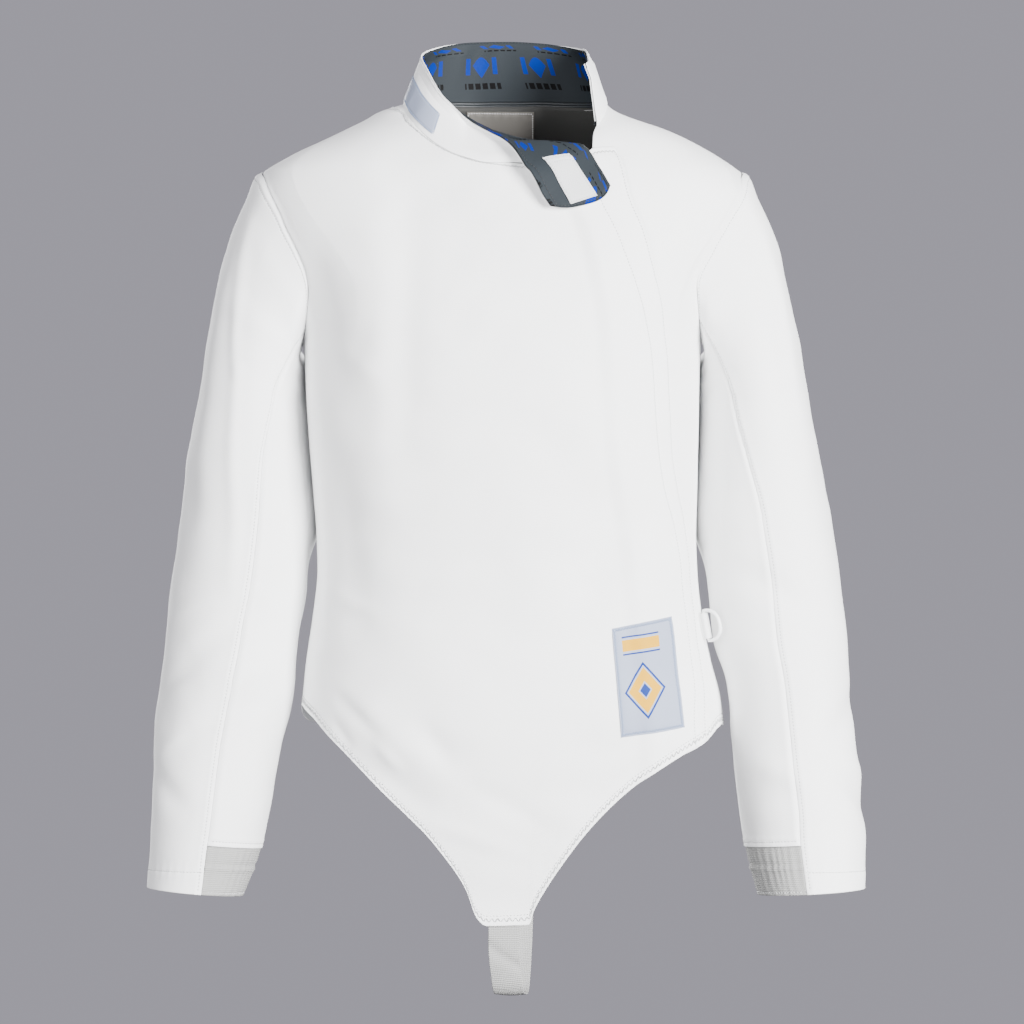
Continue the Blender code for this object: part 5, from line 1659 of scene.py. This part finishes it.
def weave_group() -> bpy.types.NodeTree:
    """Threads that go over and under each other, by lengths in metres and threads to the metre."""
    group, tree, ins, end = make_group("real_weave", {"Lengths": "Vector", "Threads": "Float"}, ("Height",))
    u, v, _ = tree.split(ins["Lengths"])
    turns = [tree.math("SINE", tree.math("MULTIPLY", tree.math("MULTIPLY", part, ins["Threads"]), math.pi))
             for part in (u, v)]
    woven = tree.math("MULTIPLY", turns[0], turns[1])
    grain = tree.add("TexNoise", {"Vector": ins["Lengths"], "Scale": 900.0, "Detail": 2.0}).outputs[0]
    tree.feed(end.inputs[0], tree.math("MULTIPLY_ADD", woven, 0.5, grain))
    return group


def rib_group() -> bpy.types.NodeTree:
    """Ribs across a tape, by lengths in metres and ribs to the metre."""
    group, tree, ins, end = make_group("tape_ribs", {"Lengths": "Vector", "Ribs": "Float"}, ("Height",))
    u, v, _ = tree.split(ins["Lengths"])
    rib = tree.math("SINE", tree.math("MULTIPLY", tree.math("MULTIPLY", v, ins["Ribs"]), FULL_TURN))
    cord = tree.math("SINE", tree.math("MULTIPLY", tree.math("MULTIPLY", u, ins["Ribs"]), 2.2 * math.pi))
    tree.feed(end.inputs[0], tree.math("MULTIPLY_ADD", cord, 0.35, rib))
    return group


def tone_group() -> bpy.types.NodeTree:
    """Slow changes of tone over a piece, about 1."""
    group, tree, ins, end = make_group("slow_tone", {"Place": "Vector"}, ("Tone",))
    noise = tree.add("TexNoise", {"Vector": ins["Place"], "Scale": 9.0, "Detail": 3.0}).outputs[0]
    tone = tree.add("MapRange", {0: noise, 1: 0.3, 2: 0.7, 3: 0.988, 4: 1.006})
    tree.feed(end.inputs[0], tone.outputs[0])
    return group


def print_group() -> bpy.types.NodeTree:
    """The lining's print: staggered cells, each with a blue lozenge between two bars over black dashes."""
    group, tree, ins, end = make_group("lozenge_print", {"Lengths": "Vector"}, ("Blue", "Black"))
    u, v, _ = tree.split(ins["Lengths"])
    row = tree.math("DIVIDE", v, 0.027)
    shift = tree.math("MULTIPLY", tree.math("FLOOR", row), 0.41)
    column = tree.math("ADD", tree.math("DIVIDE", u, 0.050), shift)
    p = tree.math("MULTIPLY", tree.math("SUBTRACT", tree.math("FRACT", column), 0.5), 50.0)
    q = tree.math("MULTIPLY", tree.math("SUBTRACT", tree.math("FRACT", row), 0.5), 27.0)
    high = tree.math("SUBTRACT", q, 2.5)
    lozenge = tree.math("LESS_THAN", tree.lozenge(p, high, 7.5, 5.5), 1.0)
    bars = tree.math("MULTIPLY", tree.inside(tree.math("ABSOLUTE", p), 12.0, 2.0), tree.inside(high, 0.0, 4.0))
    dash = tree.math("GREATER_THAN", tree.math("FRACT", tree.math("DIVIDE", p, 6.0)), 0.28)
    line = tree.math("MULTIPLY", tree.inside(q, -6.6, 1.3), tree.inside(p, 0.0, 15.0))
    tree.feed(end.inputs["Blue"], tree.math("MAXIMUM", lozenge, bars))
    tree.feed(end.inputs["Black"], tree.math("MULTIPLY", dash, line))
    return group


def badge_group() -> bpy.types.NodeTree:
    """The front label's pattern: a yellow lozenge with a blue outline below a yellow bar and blue lines."""
    group, tree, ins, end = make_group("badge_pattern", {"Lengths": "Vector"}, ("Yellow", "Blue"))
    u, v, _ = tree.split(ins["Lengths"])
    x = tree.math("MULTIPLY_ADD", u, 1000.0, -27.0)
    y = tree.math("MULTIPLY_ADD", v, 1000.0, -38.0)
    shape = tree.lozenge(x, y, 19.0, 24.0)
    lozenge = tree.math("MULTIPLY", tree.math("LESS_THAN", shape, 0.84), tree.math("GREATER_THAN", shape, 0.34))
    outline = tree.inside(shape, 0.99, 0.06)
    heart = tree.math("LESS_THAN", shape, 0.26)
    wide = tree.inside(x, 0.0, 18.0)
    bar = tree.math("MULTIPLY", tree.inside(y, 41.0, 5.0), wide)
    lines = tree.math("MULTIPLY", tree.inside(tree.math("ABSOLUTE", tree.math("SUBTRACT", y, 41.0)), 7.6, 0.7), wide)
    tree.feed(end.inputs["Yellow"], tree.math("MAXIMUM", lozenge, bar))
    tree.feed(end.inputs["Blue"], tree.math("MAXIMUM", tree.math("MAXIMUM", outline, heart), lines))
    return group


@dataclass(frozen=True)
class Groups:
    """The node groups that finishes share."""

    weave: bpy.types.NodeTree
    ribs: bpy.types.NodeTree
    tone: bpy.types.NodeTree
    lining: bpy.types.NodeTree
    badge: bpy.types.NodeTree


GREY = (0.0175, 0.0215, 0.0250, 1.0)
LILAC = (0.27, 0.305, 0.40, 1.0)


@dataclass(frozen=True)
class Finish:
    """A finish: colour, roughness, and a weave or ribs of a real pitch and depth in metres.

    inside is painted shade: a dark colour laid on the cloth's hidden side, between set heights round the neck, for the
    shade inside the neck.
    """

    name: str
    colour: tuple[float, float, float, float]
    roughness: float
    pitch: float
    depth: float
    ribbed: bool = False
    sheen: float = 0.0
    gloss: float = 0.2
    fuzz: float = 0.0
    inks: tuple[tuple[str, tuple[float, float, float, float]], ...] = ()
    inside: tuple[float, float, float, float] | None = None

    def build(self, groups: Groups, pattern: bpy.types.NodeTree | None = None) -> bpy.types.Material:
        """Makes the material.

        Args:
            groups: the shared node groups.
            pattern: the group whose outputs are masks for the finish's inks.

        Returns:
            The material.
        """
        material = bpy.data.materials.new(self.name)
        material.use_nodes = True
        tree = Tree(material.node_tree)
        shader = material.node_tree.nodes["Principled BSDF"]
        lengths = tree.add("UVMap", uv_map="Lengths").outputs[0]
        place = tree.add("TexCoord").outputs["Object"]
        colour: Feed = self.colour
        if pattern:
            masks = tree.add("Group", node_tree=pattern)
            tree.feed(masks.inputs[0], lengths)
            for name, ink in self.inks:
                colour = tree.mix(masks.outputs[name], colour, ink)
        # Painted shade: in a band of heights round the neck, the hidden side takes the inside colour, standing for the
        # shade there.
        if self.inside:
            within = tree.add("Attribute", attribute_name="Inner").outputs["Fac"]
            high = tree.split(place)[2]
            below = tree.add("MapRange", {0: high, 1: 0.060, 2: 0.045, 3: 0.0, 4: 1.0}).outputs[0]
            above = tree.add("MapRange", {0: high, 1: -0.18, 2: -0.10, 3: 0.0, 4: 1.0}).outputs[0]
            near = tree.math("MULTIPLY", below, above)
            colour = tree.mix(tree.math("MULTIPLY", within, near), colour, self.inside)
        tone = tree.add("Group", node_tree=groups.tone)
        tree.feed(tone.inputs[0], place)
        shade = tree.add("VectorMath", operation="SCALE")
        tree.feed(shade.inputs[0], colour if isinstance(colour, bpy.types.NodeSocket) else self.colour[:3])
        tree.feed(shade.inputs["Scale"], tone.outputs[0])
        tree.feed(shader.inputs["Base Color"], shade.outputs[0])
        relief = tree.add("Group", node_tree=groups.ribs if self.ribbed else groups.weave)
        tree.feed(relief.inputs[0], lengths)
        tree.feed(relief.inputs[1], 1 / self.pitch)
        height = relief.outputs[0]
        if self.fuzz:
            noise = tree.add("TexNoise", {"Vector": place, "Scale": 1400.0, "Detail": 3.0}).outputs[0]
            height = tree.math("MULTIPLY_ADD", noise, self.fuzz, height)
        bump = tree.add("Bump", {"Strength": 1.0, "Distance": self.depth, "Height": height})
        tree.feed(shader.inputs["Normal"], bump.outputs[0])
        shader.inputs["Roughness"].default_value = self.roughness
        shader.inputs["Sheen Weight"].default_value = self.sheen
        shader.inputs["Specular IOR Level"].default_value = self.gloss
        return material


@dataclass(frozen=True)
class Plain:
    """A smooth finish with a little unevenness, for thread and mouldings."""

    name: str
    colour: tuple[float, float, float, float]
    roughness: float
    grain: float

    def build(self, groups: Groups) -> bpy.types.Material:
        """Makes the material from object coordinates."""
        material = bpy.data.materials.new(self.name)
        material.use_nodes = True
        tree = Tree(material.node_tree)
        shader = material.node_tree.nodes["Principled BSDF"]
        place = tree.add("TexCoord").outputs["Object"]
        tone = tree.add("Group", node_tree=groups.tone)
        tree.feed(tone.inputs[0], place)
        shade = tree.add("VectorMath", operation="SCALE")
        tree.feed(shade.inputs[0], self.colour[:3])
        tree.feed(shade.inputs["Scale"], tone.outputs[0])
        tree.feed(shader.inputs["Base Color"], shade.outputs[0])
        noise = tree.add("TexNoise", {"Vector": place, "Scale": 2200.0, "Detail": 2.0}).outputs[0]
        bump = tree.add("Bump", {"Strength": 1.0, "Distance": self.grain, "Height": noise})
        tree.feed(shader.inputs["Normal"], bump.outputs[0])
        shader.inputs["Roughness"].default_value = self.roughness
        return material


# --- The studio -------------------------------------------------------------------------------------


@dataclass
class Studio:
    """A plain floor, an even world of the backdrop's grey, soft lights and the camera."""

    floor_z: float = -1.35
    floor_half: float = 3.0
    world_grey: tuple[float, float, float, float] = (0.372, 0.362, 0.415, 1.0)
    grey: tuple[float, float, float, float] = (0.060, 0.059, 0.066, 1.0)
    distance: float = 3.2
    camera_z: float = -0.3483
    lens: float = 125.0
    shift: float = 6 / 1024

    def floor(self) -> None:
        """A flat square sheet under the jacket, low enough to stay out of the photo's view."""
        along = np.linspace(-self.floor_half / MM, self.floor_half / MM, 9)
        level = np.full((1, 1), self.floor_z / MM)
        grid = np.stack(np.broadcast_arrays(along[None], along[:, None], level), axis=-1)
        number = np.arange(grid.shape[0] * grid.shape[1]).reshape(grid.shape[:2])
        quads = np.stack([number[:-1, :-1], number[:-1, 1:], number[1:, 1:], number[1:, :-1]], axis=-1)
        sheet = make_object("studio_floor", grid.reshape(-1, 3), [quads.reshape(-1, 4)])
        material = bpy.data.materials.new("studio_grey")
        material.use_nodes = True
        shader = material.node_tree.nodes["Principled BSDF"]
        shader.inputs["Base Color"].default_value = self.grey
        shader.inputs["Roughness"].default_value = 0.9
        shader.inputs["Specular IOR Level"].default_value = 0.1
        sheet.data.materials.append(material)

    def light(self, name: str, place: tuple[float, float, float], size: float, power: float) -> None:
        """A square soft light that looks at the jacket's middle."""
        data = bpy.data.lights.new(name, "AREA")
        data.size = size
        data.energy = power
        lamp = bpy.data.objects.new(name, data)
        lamp.location = place
        toward = np.array([0.0, 0.0, self.camera_z]) - np.array(place)
        lamp.rotation_euler = (math.acos(-toward[2] / np.linalg.norm(toward)), 0.0,
                               math.atan2(toward[0], -toward[1]) + math.pi)
        lamp.visible_camera = False
        bpy.context.scene.collection.objects.link(lamp)

    def build(self) -> None:
        """Sets the stage, the lights, the world and the camera."""
        self.floor()
        self.light("light_left", (-1.9, -3.0, 0.1), 1.8, 130)
        self.light("light_right", (2.1, -2.8, 0.1), 1.6, 600)
        self.light("light_top", (0.1, 0.6, 2.6), 2.2, 10)
        self.light("light_back", (-0.9, 3.2, 0.0), 2.0, 320)
        world = bpy.data.worlds.new("studio_world")
        world.use_nodes = True
        world.node_tree.nodes["Background"].inputs["Color"].default_value = self.world_grey
        world.node_tree.nodes["Background"].inputs["Strength"].default_value = 1.0
        bpy.context.scene.world = world
        data = bpy.data.cameras.new("photo_camera")
        data.lens = self.lens
        data.sensor_width = 36.0
        data.shift_x = self.shift
        camera = bpy.data.objects.new("photo_camera", data)
        camera.location = (0.0, -self.distance, self.camera_z)
        camera.rotation_euler = (math.pi / 2, 0.0, 0.0)
        bpy.context.scene.collection.objects.link(camera)
        bpy.context.scene.camera = camera


def main() -> None:
    """Builds the jacket's pieces in order, then the studio."""
    logging.basicConfig(level=logging.INFO, format="%(message)s")
    groups = Groups(weave_group(), rib_group(), tone_group(), print_group(), badge_group())
    # The white cloth's inside colour is painted shade for the dark inside of the neck.
    cloth = Finish("white_cloth", (0.88, 0.885, 0.885, 1), 0.78, 0.0009, 0.00006, sheen=0.12,
                   inside=(0.040, 0.040, 0.038, 1)).build(groups)
    # Painted shade: the white elastic is given a grey colour for the shade it lies in at the cuffs and on the strap.
    elastic = Finish("white_elastic_painted_shade", (0.32, 0.32, 0.312, 1), 0.85, 0.0017, 0.00016, ribbed=True).build(groups)
    lining = Finish("grey_satin", GREY, 0.6, 0.0005, 0.00003, gloss=0.08,
                    inks=(("Blue", (0.0, 0.014, 0.16, 1)), ("Black", (0.0012, 0.0012, 0.0015, 1)))
                    ).build(groups, groups.lining)
    plain_grey = Plain("grey_piping", GREY, 0.5, 0.00003).build(groups)
    pile = Finish("loop_pile", (0.62, 0.63, 0.64, 1), 0.95, 0.0011, 0.0003, sheen=0.1, fuzz=1.5).build(groups)
    lilac = Finish("lilac_label", LILAC, 0.6, 0.0006, 0.00006,
                   inks=(("Yellow", (0.56, 0.29, 0.0, 1)), ("Blue", (0.0, 0.022, 0.17, 1)))
                   ).build(groups, groups.badge)
    bare = Finish("bare_lilac_label", LILAC, 0.6, 0.0006, 0.00006).build(groups)
    # Painted shade: the cream label's colour is set dark for the shade it lies in inside the back of the neck.
    cream = Finish("cream_tape_painted_shade", (0.125, 0.118, 0.108, 1), 0.65, 0.0006, 0.00005).build(groups)
    # Painted shade: the white thread is given a mid grey so the stitch lines show as the small shadows they cast.
    white_thread_painted_shade = Plain("white_thread_painted_shade", (0.50, 0.505, 0.51, 1), 0.6, 0.00005).build(groups)
    grey_thread = Plain("grey_thread", (0.010, 0.011, 0.013, 1), 0.6, 0.00005).build(groups)
    blue_thread = Plain("pale_blue_thread", (0.20, 0.26, 0.40, 1), 0.6, 0.00005).build(groups)
    plastic = Plain("white_plastic", (0.85, 0.86, 0.87, 1), 0.35, 0.00002).build(groups)
    white = Look(cloth, Slot.CLOTH, white_thread_painted_shade)
    body = BodyForm()
    body.build(white)
    for side in Side:
        SleeveForm(side, body).build(white, Look(elastic, Slot.ELASTIC, white_thread_painted_shade))
    CollarForm(body).build(white, Look(lining, Slot.LINING, grey_thread), Look(plain_grey, Slot.LINING),
                           Look(pile, Slot.PILE, white_thread_painted_shade), Look(bare, Slot.LILAC, blue_thread))
    LabelForm(body).build(Look(lilac, Slot.LILAC, blue_thread), Look(cream, Slot.CREAM, white_thread_painted_shade))
    StrapForm().build(Look(elastic, Slot.ELASTIC, white_thread_painted_shade))
    RingForm().build(plastic, white)
    Studio().build()
    LOG.info("sizes written")


if __name__ == "__main__":
    main()
